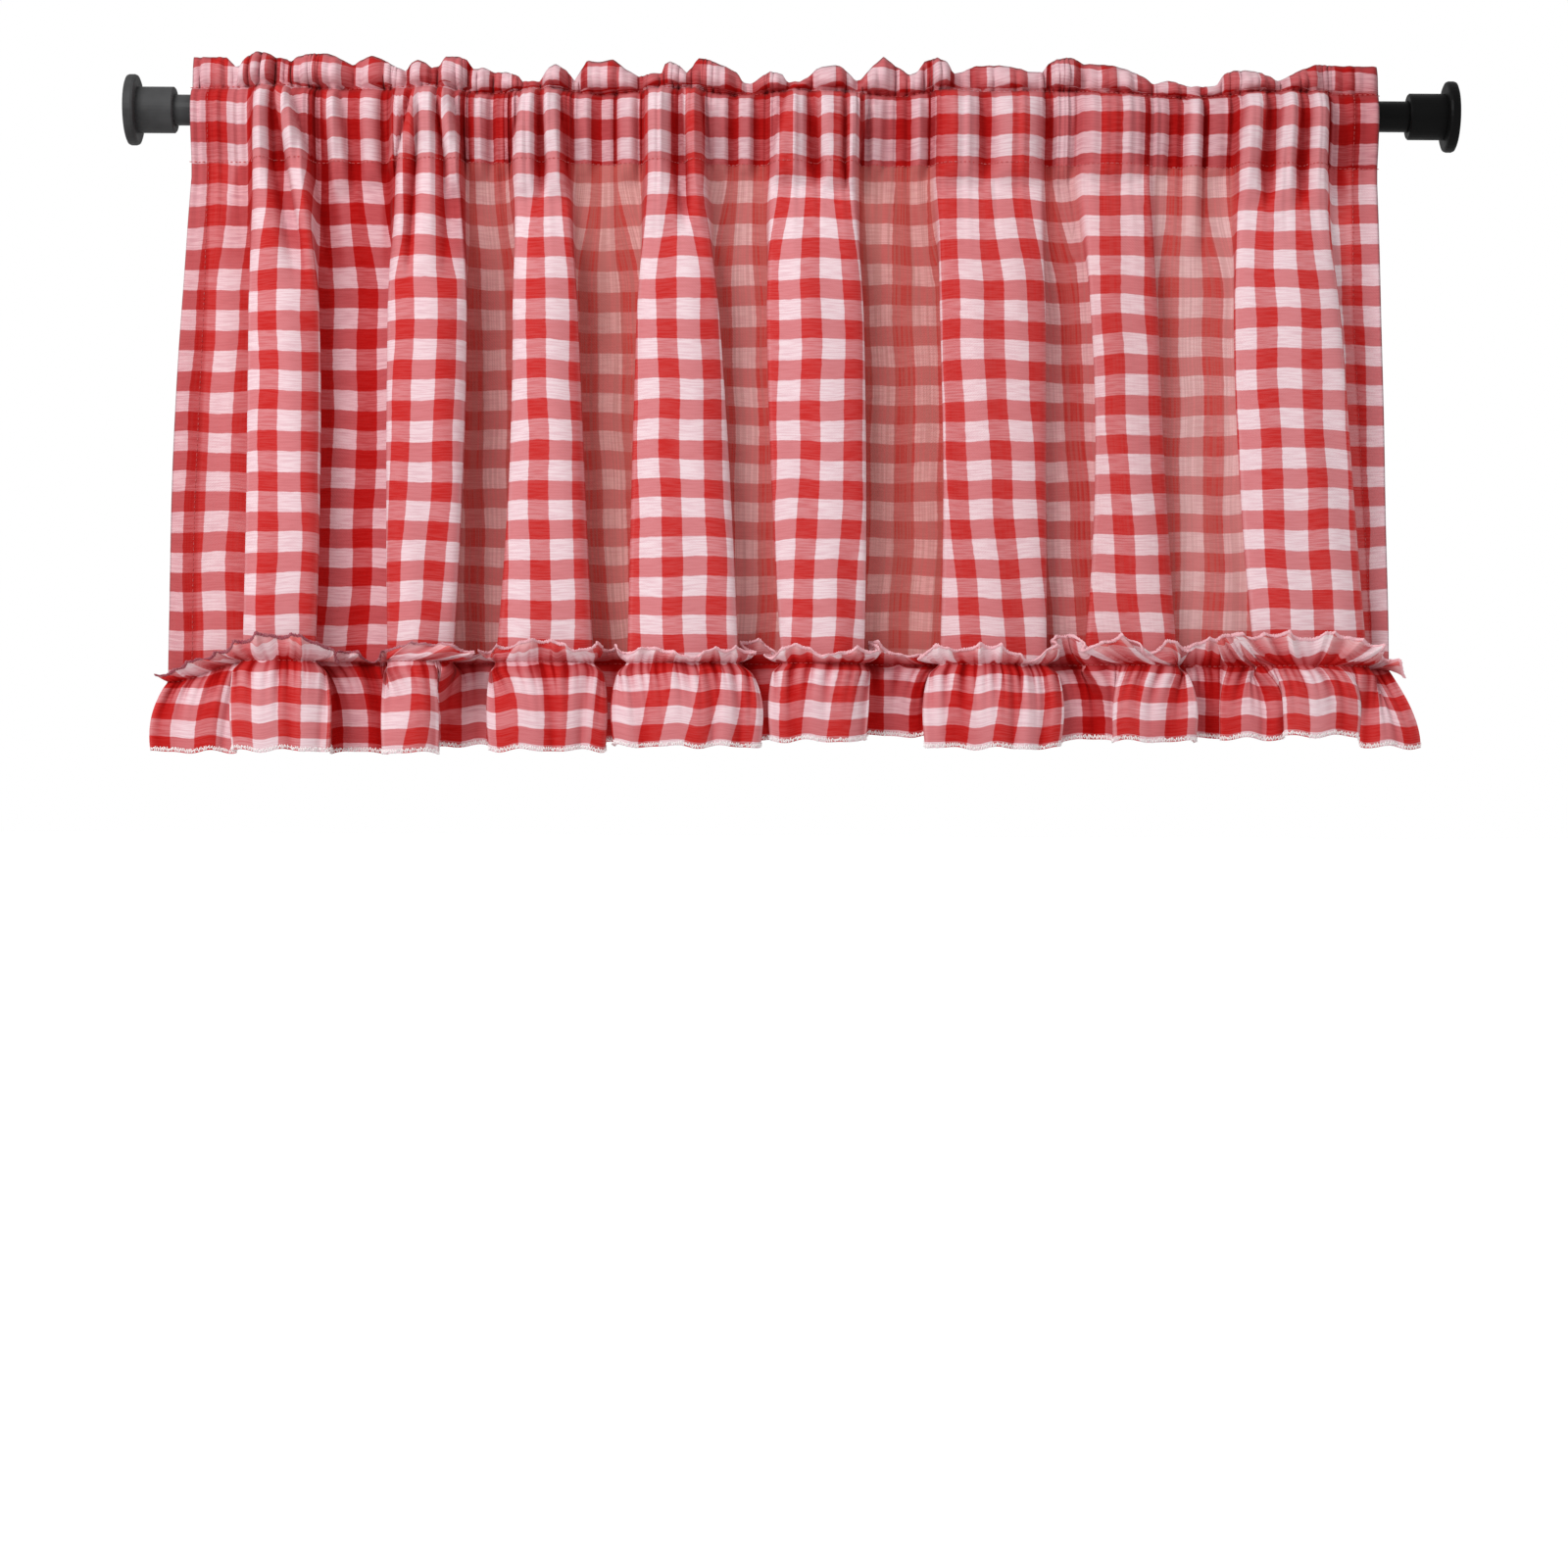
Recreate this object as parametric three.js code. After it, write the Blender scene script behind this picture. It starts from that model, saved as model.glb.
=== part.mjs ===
import * as THREE from "three";

// Millimetres. X runs along the rod from the left pad, Z is up, and the room lies towards -Y.
const ROD_LENGTH = 870;
const TUBE_RADIUS = 10;
const TUBE_WALL = 1;
const ROUND_STEPS = 40;
const PAD_RADIUS = 23;
const PAD_THICKNESS = 7.2;
const PAD_ROUNDING = 2;
const COLLAR_RADIUS = 15;
const COLLAR_END = 31.2;
const COLLAR_CHAMFER = 0.8;
const SOCKET_RADIUS = 10.4;
const SOCKET_FLOOR = 9.6;
const TUBE_INSET = 10;

const CLOTH_THICKNESS = 1.2;
const LAYER_GAP = 1.35;
const POCKET_STITCH = -30;
const HEADING_STITCH = 13.5;
const PANEL_FOOT = -371;
const TOP_LEVEL = -45;
const MID_LEVEL = -186;
const FOOT_LEVEL = -339;
const SETTLED_LEVEL = -140;
const POCKET_DEPTH = 5;
const HEADING_MEAN = 27;
const HEADING_PUFF = 0.35;
const HEAD_WALL_RUN = 8;
const HANG_WALL_RUN = 0;
const WALL_STEPS = 2;
const SHORTEST_WALL = 4;
const RUFFLE_SEAM = -363;
const RUFFLE_FREE = -375.5;
const SEAM_WALL = 3;
const HEADER_RISE = 11;
const HEADER_LIFT = 0.22;
const HEADER_WAVES = [
  { pitch: 37, height: 2.6, start: 0.4 },
  { pitch: 61, height: 1.8, start: 2.1 },
];
const END_DROOP = 10;
const END_REACH = 11;
const END_LENGTH = 32;

// A row for each face of the panel, left to right: where its left edge is at three heights, how far
// it stands towards the room at the pocket stitch and lower down, its roundness, and the small
// pleats in it at the pocket with their depth.
const FACES = [
  { name: "left side", top: 41.7, mid: 34.0, foot: 29.6, head: 6, hang: 2, round: 1, pleats: 1, deep: 1, steps: 5 },
  { name: "fold A", top: 80.8, mid: 80.8, foot: 78.6, head: 10, hang: 16, round: 4, pleats: 2, deep: 8, steps: 8 },
  { name: "recess 1", top: 121.5, mid: 126.2, foot: 124.3, head: 5, hang: -8, round: -2, pleats: 2, deep: 4, steps: 6 },
  { name: "fold B", top: 173.6, mid: 172.0, foot: 173.3, head: 10, hang: 17, round: 4, pleats: 3, deep: 8, steps: 9 },
  { name: "recess 2", top: 220.9, mid: 220.9, foot: 214.9, head: 5, hang: -20, round: -2, pleats: 0, deep: 0, steps: 4 },
  { name: "fold C", top: 252.0, mid: 254.2, foot: 246.3, head: 10, hang: 17, round: 4, pleats: 2, deep: 8, steps: 8 },
  { name: "recess 3", top: 291.2, mid: 297.1, foot: 304.8, head: 5, hang: -8, round: -2, pleats: 1, deep: 2, steps: 5 },
  { name: "fold D", top: 338.5, mid: 334.2, foot: 331.0, head: 10, hang: 20, round: 4, pleats: 2, deep: 9, steps: 8 },
  { name: "recess 4", top: 379.3, mid: 391.2, foot: 400.1, head: 5, hang: -2, round: -2, pleats: 0, deep: 0, steps: 5 },
  { name: "fold E", top: 420.0, mid: 421.9, foot: 430.0, head: 11, hang: 20, round: 4, pleats: 3, deep: 8, steps: 9 },
  { name: "recess 5", top: 478.1, mid: 483.3, foot: 483.8, head: 5, hang: 0, round: -2, pleats: 0, deep: 0, steps: 5 },
  { name: "fold F", top: 528.6, mid: 535.8, foot: 535.8, head: 13, hang: 20, round: 3, pleats: 2, deep: 5, steps: 8 },
  { name: "valley", top: 600.4, mid: 601.7, foot: 603.0, head: 7, hang: 6, round: -1, pleats: 1, deep: 3, steps: 4 },
  { name: "fold G", top: 622.0, mid: 635.0, foot: 630.0, head: 13, hang: 16, round: 3, pleats: 1, deep: 4, steps: 7 },
  { name: "recess 6", top: 672.1, mid: 677.2, foot: 687.5, head: 5, hang: 4, round: -1, pleats: 1, deep: 6, steps: 5 },
  { name: "fold H", top: 726.5, mid: 727.8, foot: 739.3, head: 11, hang: 22, round: 4, pleats: 3, deep: 8, steps: 9 },
  { name: "right side", top: 786.7, mid: 798.2, foot: 811.4, head: 6, hang: -8, round: -1, pleats: 0, deep: 0, steps: 4 },
];
const RIGHT_EDGE = { top: 819.6, mid: 823.8, foot: 827.0 };
const BODY_HEIGHTS = [PANEL_FOOT, -295, -220, -150, -95, -58];

// How the strip of cloth runs round the rod, from the pocket stitch in front over the heading to its
// turned edge behind: height, depth round the rod, share of the folds kept, and side of the seam.
const POCKET = [
  { z: POCKET_STITCH, ring: 5, share: 1, side: 0 },
  { z: -15, ring: 9.6, share: 0.9, side: 0 },
  { z: 0, ring: 12.2, share: 0.8, side: 0 },
  { z: 9, ring: 8.8, share: 0.65, side: 0 },
  { z: HEADING_STITCH, ring: 0, share: 0.35, side: LAYER_GAP },
  { heading: 0.5, ring: 0, share: 0.25, side: LAYER_GAP },
  { heading: 1, ring: 0, share: 0.2, side: 0 },
  { heading: 0.5, ring: 0, share: 0.25, side: -LAYER_GAP },
  { z: HEADING_STITCH, ring: 0, share: 0.35, side: -LAYER_GAP },
  { z: 9, ring: -8.8, share: 0, side: 0 },
  { z: 0, ring: -12.2, share: 0, side: 0 },
  { z: -15, ring: -9.6, share: 0.2, side: 0 },
  { z: POCKET_STITCH + 1, ring: 5, share: 1, side: -2 * LAYER_GAP },
];

// The uneven top of the heading: place along the rod and height over the rod's middle.
const HEADING = [
  { x: 42, z: 32.8 }, { x: 65, z: 32.8 }, { x: 72, z: 27 }, { x: 87, z: 36.6 }, { x: 105, z: 30.9 },
  { x: 120, z: 34.9 }, { x: 134, z: 34.3 }, { x: 148, z: 24.8 }, { x: 160, z: 34.2 }, { x: 182, z: 23.1 },
  { x: 195, z: 28.9 }, { x: 214, z: 34.1 }, { x: 233, z: 26.9 }, { x: 249, z: 24.2 }, { x: 268, z: 21.5 },
  { x: 280, z: 29.4 }, { x: 288, z: 25 }, { x: 309, z: 32.1 }, { x: 336, z: 21.7 }, { x: 348, z: 22.4 },
  { x: 356, z: 31 }, { x: 364, z: 25.5 }, { x: 376, z: 33.7 }, { x: 396, z: 27.4 }, { x: 412, z: 21.4 },
  { x: 434, z: 20.5 }, { x: 458, z: 28.4 }, { x: 478, z: 23.1 }, { x: 496, z: 35.6 }, { x: 513, z: 25.2 },
  { x: 524, z: 33.8 }, { x: 540, z: 25.3 }, { x: 560, z: 30.8 }, { x: 590, z: 25.6 }, { x: 616, z: 35.1 },
  { x: 636, z: 30.6 }, { x: 662, z: 25.7 }, { x: 672, z: 20.8 }, { x: 699, z: 20.5 }, { x: 713, z: 20.6 },
  { x: 726, z: 28.6 }, { x: 751, z: 22.1 }, { x: 768, z: 28.2 }, { x: 781, z: 32.2 }, { x: 820, z: 32.2 },
];

// A row for each face of the ruffle: the panel's face it is sewn on, with the share of that face in
// its decimals, then its left edge, depth, height and roundness at the hem.
const FLOUNCE = [
  { name: "left flare", on: 0, hem: 18.0, depth: 9, z: -421, round: 4, steps: 4 },
  { name: "puff A", on: 1, hem: 71.8, depth: 24, z: -420, round: 6, steps: 7 },
  { name: "recess 1", on: 2, hem: 134.2, depth: -3, z: -413, round: -2, steps: 4 },
  { name: "puff B", on: 3, hem: 170.4, depth: 22, z: -421, round: 5, steps: 6 },
  { name: "recess 2", on: 4, hem: 205.0, depth: -10, z: -412, round: -2, steps: 4 },
  { name: "puff C", on: 5, hem: 240.0, depth: 24, z: -419, round: 7, steps: 7 },
  { name: "recess 3", on: 6, hem: 314.5, depth: 5, z: -411, round: 0, steps: 2 },
  { name: "puff D", on: 7, hem: 321.5, depth: 27, z: -416, round: 9, steps: 8 },
  { name: "recess 4", on: 8, hem: 416.0, depth: 3, z: -407, round: 0, steps: 2 },
  { name: "puff E", on: 9, hem: 424.0, depth: 26, z: -412, round: 6, steps: 7 },
  { name: "recess 5", on: 10, hem: 485.2, depth: 3, z: -405, round: -2, steps: 4 },
  { name: "puff F", on: 11, hem: 525.6, depth: 26, z: -416, round: 8, steps: 8 },
  { name: "valley", on: 12, hem: 613.2, depth: 9, z: -407, round: -1, steps: 4 },
  { name: "puff G", on: 13.35, hem: 647.8, depth: 24, z: -411, round: 6, steps: 6 },
  { name: "recess 6", on: 14.1, hem: 701.0, depth: 8, z: -407, round: -1, steps: 3 },
  { name: "puff H", on: 14.6, hem: 717.6, depth: 16, z: -409, round: 4, steps: 5 },
  { name: "puff I", on: 15.1, hem: 756.0, depth: 30, z: -407, round: 6, steps: 6 },
  { name: "right flare", on: 15.92, hem: 808.0, depth: 18, z: -414, round: 5, steps: 5 },
];
const FLOUNCE_END = { on: FACES.length, hem: 845 };

// Rows of the ruffle from its header to its hem: height or share of the way to the hem, and offset
// from the panel.
const RUFFLE_ROWS = [
  { header: true, offset: 5.4, share: 0 },
  { z: RUFFLE_SEAM, offset: 3.4, share: 0 },
  { z: RUFFLE_FREE, offset: 5.4, share: 0 },
  { offset: 7, share: 0.5 },
  { offset: 7, share: 1 },
];

// The corners of the folds are rounded by averaging the cloth over these steps along it.
const ROUNDING = [
  { step: -9, weight: 1 / 16 },
  { step: -4.5, weight: 4 / 16 },
  { step: 0, weight: 6 / 16 },
  { step: 4.5, weight: 4 / 16 },
  { step: 9, weight: 1 / 16 },
];

const mix = (a, b, f) => a + (b - a) * f;
const clamp = (v, low, high) => Math.min(high, Math.max(low, v));
const ease = (v) => clamp(v, 0, 1) ** 2 * (3 - 2 * clamp(v, 0, 1));
const roundAt = (round, share) => round * 4 * share * (1 - share);
const pleatAt = (face, share) => face.deep * Math.sin(Math.PI * face.pleats * share) ** 2;

// Lays the faces and the walls between them end to end along the flat cloth.
function layFlat(rows, widthOf, wallOf) {
  const spans = [];
  let start = 0;
  const add = (face, length, wall, steps) => {
    spans.push({ face, start, end: start + length, wall, steps });
    start += length;
  };
  rows.forEach((row, i) => {
    add(i, widthOf(i), false, row.steps);
    if (i + 1 < rows.length) add(i, Math.max(SHORTEST_WALL, wallOf(i)), true, WALL_STEPS);
  });
  return { spans, width: start };
}

const panelRow = (i) => FACES[i] ?? RIGHT_EDGE;
const ruffleRow = (i) => FLOUNCE[i] ?? FLOUNCE_END;
const PANEL = layFlat(
  FACES,
  (i) => panelRow(i + 1).mid - FACES[i].mid,
  (i) => Math.abs(FACES[i].hang - FACES[i + 1].hang),
);
const RUFFLE = layFlat(
  FLOUNCE,
  (i) => ruffleRow(i + 1).hem - FLOUNCE[i].hem,
  (i) => Math.abs(FLOUNCE[i].depth - FLOUNCE[i + 1].depth),
);

// The columns of a sheet's grid, as places along its flat cloth.
function columnPlaces(cloth) {
  const places = cloth.spans.flatMap(({ start, end, steps }) =>
    Array.from({ length: steps }, (_, k) => mix(start, end, k / steps)),
  );
  return [...places, cloth.width];
}

function spanAt(cloth, place) {
  const inside = clamp(place, 0, cloth.width);
  const span = cloth.spans.find((s) => inside <= s.end);
  return { ...span, share: (inside - span.start) / (span.end - span.start), beyond: place - inside };
}

// A point of the unrounded section: edge and depth are functions of the face, and run is how far a
// wall goes along the rod.
function corner(cloth, place, { edge, depth, run }) {
  const { face, wall, share, beyond } = spanAt(cloth, place);
  if (wall) {
    const x = edge(face + 1) + run * (share - 0.5);
    return { x, depth: mix(depth(face), depth(face + 1), share) };
  }
  const left = edge(face) + (face === 0 ? 0 : run / 2);
  const right = edge(face + 1) - (place > cloth.spans[cloth.spans.length - 1].start ? 0 : run / 2);
  return { x: mix(left, right, share) + beyond, depth: depth(face) };
}

function rounded(cloth, place, shape) {
  const sum = { x: 0, depth: 0 };
  for (const { step, weight } of ROUNDING) {
    const p = corner(cloth, place + step, shape);
    sum.x += weight * p.x;
    sum.depth += weight * p.depth;
  }
  const { face, wall, share } = spanAt(cloth, place);
  if (!wall && shape.added) sum.depth += shape.added(face, share);
  return sum;
}

// The same, moved sideways off the cloth by offset, towards the room where that is positive.
function beside(cloth, place, offset, shape) {
  const p = rounded(cloth, place, shape);
  if (offset === 0) return p;
  const before = rounded(cloth, place - 3, shape);
  const after = rounded(cloth, place + 3, shape);
  const along = { x: after.x - before.x, depth: after.depth - before.depth };
  const length = Math.hypot(along.x, along.depth);
  return { x: p.x - (offset * along.depth) / length, depth: p.depth + (offset * along.x) / length };
}

// The left edge of face i at height z, on a curve through its three stated places.
function edgeAt(i, z) {
  const row = panelRow(i);
  const h = Math.min(z, TOP_LEVEL);
  const top = ((h - MID_LEVEL) * (h - FOOT_LEVEL)) / ((TOP_LEVEL - MID_LEVEL) * (TOP_LEVEL - FOOT_LEVEL));
  const mid = ((h - TOP_LEVEL) * (h - FOOT_LEVEL)) / ((MID_LEVEL - TOP_LEVEL) * (MID_LEVEL - FOOT_LEVEL));
  const foot = ((h - TOP_LEVEL) * (h - MID_LEVEL)) / ((FOOT_LEVEL - TOP_LEVEL) * (FOOT_LEVEL - MID_LEVEL));
  return top * row.top + mid * row.mid + foot * row.foot;
}

// The hung body below the pocket stitch.
function bodyPoint(place, z, offset = 0) {
  const settled = ease((POCKET_STITCH - z) / (POCKET_STITCH - SETTLED_LEVEL));
  return beside(PANEL, place, offset, {
    edge: (i) => edgeAt(i, z),
    depth: (i) => mix(FACES[i].head, FACES[i].hang, settled),
    added: (i, share) => mix(pleatAt(FACES[i], share), roundAt(FACES[i].round, share), settled),
    run: mix(HEAD_WALL_RUN, HANG_WALL_RUN, settled),
  });
}

function headingTop(x) {
  const i = HEADING.findIndex((row) => row.x >= x);
  if (i < 0) return HEADING[HEADING.length - 1].z;
  if (i === 0) return HEADING[0].z;
  const [left, right] = [HEADING[i - 1], HEADING[i]];
  return mix(left.z, right.z, ease((x - left.x) / (right.x - left.x)));
}

// Points of one row moved off the cloth by offset, towards the room where that is positive.
function shifted(points, offset) {
  return points.map((p, c) => {
    const along = points[Math.min(c + 1, points.length - 1)].clone().sub(points[Math.max(c - 1, 0)]);
    return p.clone().addScaledVector(new THREE.Vector3(along.y, -along.x, 0).normalize(), offset);
  });
}

function pocketRow(places, row) {
  const shape = {
    edge: (i) => edgeAt(i, TOP_LEVEL),
    depth: (i) => row.ring + row.share * (FACES[i].head - POCKET_DEPTH),
    added: (i, share) => row.share * pleatAt(FACES[i], share),
    run: HEAD_WALL_RUN,
  };
  const points = places.map((place) => {
    const p = rounded(PANEL, place, shape);
    if (row.heading === undefined) return new THREE.Vector3(p.x, -p.depth, row.z);
    const top = headingTop(p.x);
    const puff = row.heading * HEADING_PUFF * (top - HEADING_MEAN);
    return new THREE.Vector3(p.x, -p.depth - puff, mix(HEADING_STITCH, top, row.heading));
  });
  return shifted(points, row.side);
}

function bodyRow(places, z) {
  return places.map((place) => {
    const p = bodyPoint(place, z);
    return new THREE.Vector3(p.x, -p.depth, z);
  });
}

function panelGrid() {
  const places = columnPlaces(PANEL);
  const body = BODY_HEIGHTS.map((z) => bodyRow(places, z));
  return [...body, ...POCKET.map((row) => pocketRow(places, row))];
}

// The place on the panel that an "on" number names: a whole number is the middle of the wall before
// that face, and decimals are a share of the face itself.
function placeOn(on) {
  const face = Math.floor(on);
  if (on === 0) return 0;
  if (face >= FACES.length) return PANEL.width;
  const span = PANEL.spans.find((s) => s.face === (on === face ? face - 1 : face) && s.wall === (on === face));
  return mix(span.start, span.end, on === face ? 0.5 : on - face);
}

// Where a place along the ruffle is sewn to the panel.
function seamPlace(place) {
  const { face, wall, share } = spanAt(RUFFLE, place);
  const [left, right] = [placeOn(ruffleRow(face).on), placeOn(ruffleRow(face + 1).on)];
  if (wall) return right + mix(-SEAM_WALL, SEAM_WALL, share);
  const from = face === 0 ? left : left + SEAM_WALL;
  const to = face + 1 === FLOUNCE.length ? right : right - SEAM_WALL;
  return mix(from, to, share);
}

// The ruffle hangs from its seam on the panel and spreads into puffs at its hem.
function rufflePoint(place, row) {
  const leftEnd = ease(1 - place / END_LENGTH);
  const rightEnd = ease(1 - (RUFFLE.width - place) / END_LENGTH);
  const droop = END_DROOP * (leftEnd + rightEnd);
  const seam = bodyPoint(seamPlace(place), RUFFLE_SEAM, row.offset);
  const spread = row.header ? END_REACH : END_REACH * row.share;
  seam.x += spread * (rightEnd - leftEnd);
  const edge = (i) => ruffleRow(i).hem;
  const added = (i, share) => roundAt(FLOUNCE[i].round, share);
  const hem = rounded(RUFFLE, place, { edge, depth: (i) => FLOUNCE[i].depth, added, run: 0 });
  const hemHeight = rounded(RUFFLE, place, { edge, depth: (i) => FLOUNCE[i].z, run: 0 }).depth;
  const x = mix(seam.x, hem.x, row.share);
  const depth = mix(seam.depth, hem.depth, row.share);
  const wave = HEADER_WAVES.reduce(
    (sum, { pitch, height, start }) => sum + height * Math.cos((2 * Math.PI * place) / pitch + start),
    0,
  );
  const header = RUFFLE_SEAM + HEADER_RISE + HEADER_LIFT * seam.depth + wave - 1.6 * droop;
  const z = row.header ? header : (row.z ?? mix(RUFFLE_FREE, hemHeight, row.share)) - droop * (1 - row.share);
  return new THREE.Vector3(x, -depth, z);
}

function ruffleGrid() {
  const places = columnPlaces(RUFFLE);
  return RUFFLE_ROWS.map((row) => places.map((place) => rufflePoint(place, row)));
}

// Closes a grid of points, given row by row, into a sheet of the cloth's thickness.
function sheetSolid(grid) {
  const rows = grid.length;
  const last = grid[0].length - 1;
  const near = (c, r) => grid[clamp(r, 0, rows - 1)][clamp(c, 0, last)];
  const positions = [];
  for (const sign of [1, -1]) {
    for (let c = 0; c <= last; c++) {
      for (let r = 0; r < rows; r++) {
        const along = near(c + 1, r).clone().sub(near(c - 1, r)).normalize();
        const up = near(c, r + 1).clone().sub(near(c, r - 1)).normalize();
        const out = along.cross(up).normalize();
        positions.push(...grid[r][c].clone().addScaledVector(out, (sign * CLOTH_THICKNESS) / 2));
      }
    }
  }
  const count = (last + 1) * rows;
  const front = (c, r) => c * rows + r;
  const back = (c, r) => count + front(c, r);
  const faces = [];
  const quad = (a, b, c, d) => faces.push(a, b, c, a, c, d);
  for (let c = 0; c < last; c++) {
    for (let r = 0; r < rows - 1; r++) {
      quad(front(c, r), front(c + 1, r), front(c + 1, r + 1), front(c, r + 1));
      quad(back(c, r), back(c, r + 1), back(c + 1, r + 1), back(c + 1, r));
    }
    quad(front(c, 0), back(c, 0), back(c + 1, 0), front(c + 1, 0));
    quad(front(c, rows - 1), front(c + 1, rows - 1), back(c + 1, rows - 1), back(c, rows - 1));
  }
  for (let r = 0; r < rows - 1; r++) {
    quad(front(0, r), front(0, r + 1), back(0, r + 1), back(0, r));
    quad(front(last, r), back(last, r), back(last, r + 1), front(last, r + 1));
  }
  return indexed(positions, faces);
}

function indexed(positions, faces) {
  const geometry = new THREE.BufferGeometry();
  geometry.setAttribute("position", new THREE.Float32BufferAttribute(positions, 3));
  geometry.setIndex(faces);
  geometry.computeVertexNormals();
  return geometry;
}

// Turns a closed outline of [x, radius] points round the rod's axis.
function turned(outline) {
  const positions = [];
  const starts = outline.map(([x, radius]) => {
    const start = positions.length / 3;
    const copies = radius === 0 ? 1 : ROUND_STEPS;
    for (let k = 0; k < copies; k++) {
      const angle = (2 * Math.PI * k) / ROUND_STEPS;
      positions.push(x, radius * Math.cos(angle), radius * Math.sin(angle));
    }
    return start;
  });
  const at = (i, k) => starts[i] + (outline[i][1] === 0 ? 0 : k % ROUND_STEPS);
  const faces = [];
  outline.forEach((_, i) => {
    const j = (i + 1) % outline.length;
    for (let k = 0; k < ROUND_STEPS; k++) {
      const [a, b, c, d] = [at(i, k), at(i, k + 1), at(j, k + 1), at(j, k)];
      if (a !== b) faces.push(a, b, c);
      if (c !== d) faces.push(a, c, d);
    }
  });
  return indexed(positions, faces);
}

// The outline of an end cap from its flat outer face to the floor of its socket.
function capOutline() {
  const bend = PAD_ROUNDING * (1 - Math.SQRT1_2);
  return [
    [0, 0],
    [0, PAD_RADIUS - PAD_ROUNDING],
    [bend, PAD_RADIUS - bend],
    [PAD_ROUNDING, PAD_RADIUS],
    [PAD_THICKNESS - PAD_ROUNDING, PAD_RADIUS],
    [PAD_THICKNESS - bend, PAD_RADIUS - bend],
    [PAD_THICKNESS, PAD_RADIUS - PAD_ROUNDING],
    [PAD_THICKNESS, COLLAR_RADIUS],
    [COLLAR_END - COLLAR_CHAMFER, COLLAR_RADIUS],
    [COLLAR_END, COLLAR_RADIUS - COLLAR_CHAMFER],
    [COLLAR_END, SOCKET_RADIUS],
    [SOCKET_FLOOR, SOCKET_RADIUS],
    [SOCKET_FLOOR, 0],
  ];
}

function tubeOutline() {
  const [start, end] = [TUBE_INSET, ROD_LENGTH - TUBE_INSET];
  const bore = TUBE_RADIUS - TUBE_WALL;
  return [
    [start, bore],
    [start, TUBE_RADIUS],
    [end, TUBE_RADIUS],
    [end, bore],
  ];
}

const black = new THREE.MeshStandardMaterial({ color: 0x1c1c1c, roughness: 0.4, metalness: 0.3 });
const capBlack = new THREE.MeshStandardMaterial({ color: 0x242424, roughness: 0.55 });
const gingham = new THREE.MeshStandardMaterial({ color: 0xe07a80, roughness: 0.9 });

function named(name, geometry, material) {
  const mesh = new THREE.Mesh(geometry, material);
  mesh.name = name;
  return mesh;
}

const curtain = new THREE.Group();
curtain.name = "cafe_curtain";
curtain.add(named("rod_tube", turned(tubeOutline()), black));
curtain.add(named("end_cap_left", turned(capOutline()), capBlack));
const rightCap = turned(capOutline().map(([x, radius]) => [ROD_LENGTH - x, radius]).reverse());
curtain.add(named("end_cap_right", rightCap, capBlack));
curtain.add(named("curtain_panel", sheetSolid(panelGrid()), gingham));
curtain.add(named("ruffle", sheetSolid(ruffleGrid()), gingham));

export default curtain;
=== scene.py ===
"""Cafe curtain in red gingham with a ruffled hem, gathered on a plain black rod."""

import math
from collections import namedtuple
from functools import lru_cache

import bpy
import numpy as np
from bpy.props import FloatProperty, FloatVectorProperty, PointerProperty
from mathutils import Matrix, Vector


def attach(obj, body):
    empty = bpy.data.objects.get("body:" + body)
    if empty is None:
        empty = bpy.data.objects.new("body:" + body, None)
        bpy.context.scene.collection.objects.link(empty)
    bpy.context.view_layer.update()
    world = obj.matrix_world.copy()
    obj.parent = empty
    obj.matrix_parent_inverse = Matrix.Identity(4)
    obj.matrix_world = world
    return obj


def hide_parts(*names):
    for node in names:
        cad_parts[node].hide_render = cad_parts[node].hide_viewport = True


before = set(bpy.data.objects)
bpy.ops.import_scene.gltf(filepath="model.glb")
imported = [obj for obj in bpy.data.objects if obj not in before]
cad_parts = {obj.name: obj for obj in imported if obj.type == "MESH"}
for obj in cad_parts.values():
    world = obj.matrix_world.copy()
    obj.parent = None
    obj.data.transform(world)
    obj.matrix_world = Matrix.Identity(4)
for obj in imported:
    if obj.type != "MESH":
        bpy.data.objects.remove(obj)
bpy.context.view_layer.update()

bl_info = {
    "name": "Cafe curtain",
    "version": (1, 0, 0),
    "blender": (4, 5, 0),
    "location": "View3D > Sidebar > Curtain",
    "description": "A gathered gingham cafe curtain with a ruffle, on its rod",
    "category": "Object",
}

MM = 0.001
NEARLY_ZERO = 1e-9

# Heights and sizes are in millimetres. X runs along the rod from the left pad, Z is up from the
# rod's middle, and depth is measured from the rod's middle towards the room.
POCKET_STITCH = -35.0
UNDER_STITCH = 0.8
HEADING_STITCH = 13.5
PANEL_FOOT = -365.5
TOP_LEVEL = -45.0
MID_LEVEL = -186.0
FOOT_LEVEL = -339.0
LEVELS = (TOP_LEVEL, MID_LEVEL, FOOT_LEVEL)
SETTLED_LEVEL = -140.0
LOWEST_FLAT = -369.0
POCKET_DEPTH = 5.0
LAYER_GAP = 1.35
HEADING_HEIGHT = 20.0
HEAD_WALL_RUN = 7.0
HANG_WALL_RUN = -4.0
HEM_WALL_RUN = -3.0
SHORTEST_WALL = 4.0
LEAST_HIDDEN = 4.0
COLUMN_STEP = 1.65
FEWEST_STEPS = 3
BODY_ROWS = 66
ROW_CROWDING = 0.35
SIDE_HEM = 17.0
HEM_GAP = 0.9
EDGE_CLEAR = 0.5
ROUNDING_STEP = 2.2
ROUNDING_WEIGHTS = np.array([1, 6, 15, 20, 15, 6, 1]) / 64
CROWN_POWER = 2.3
ROUND_FROM = 2

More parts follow.
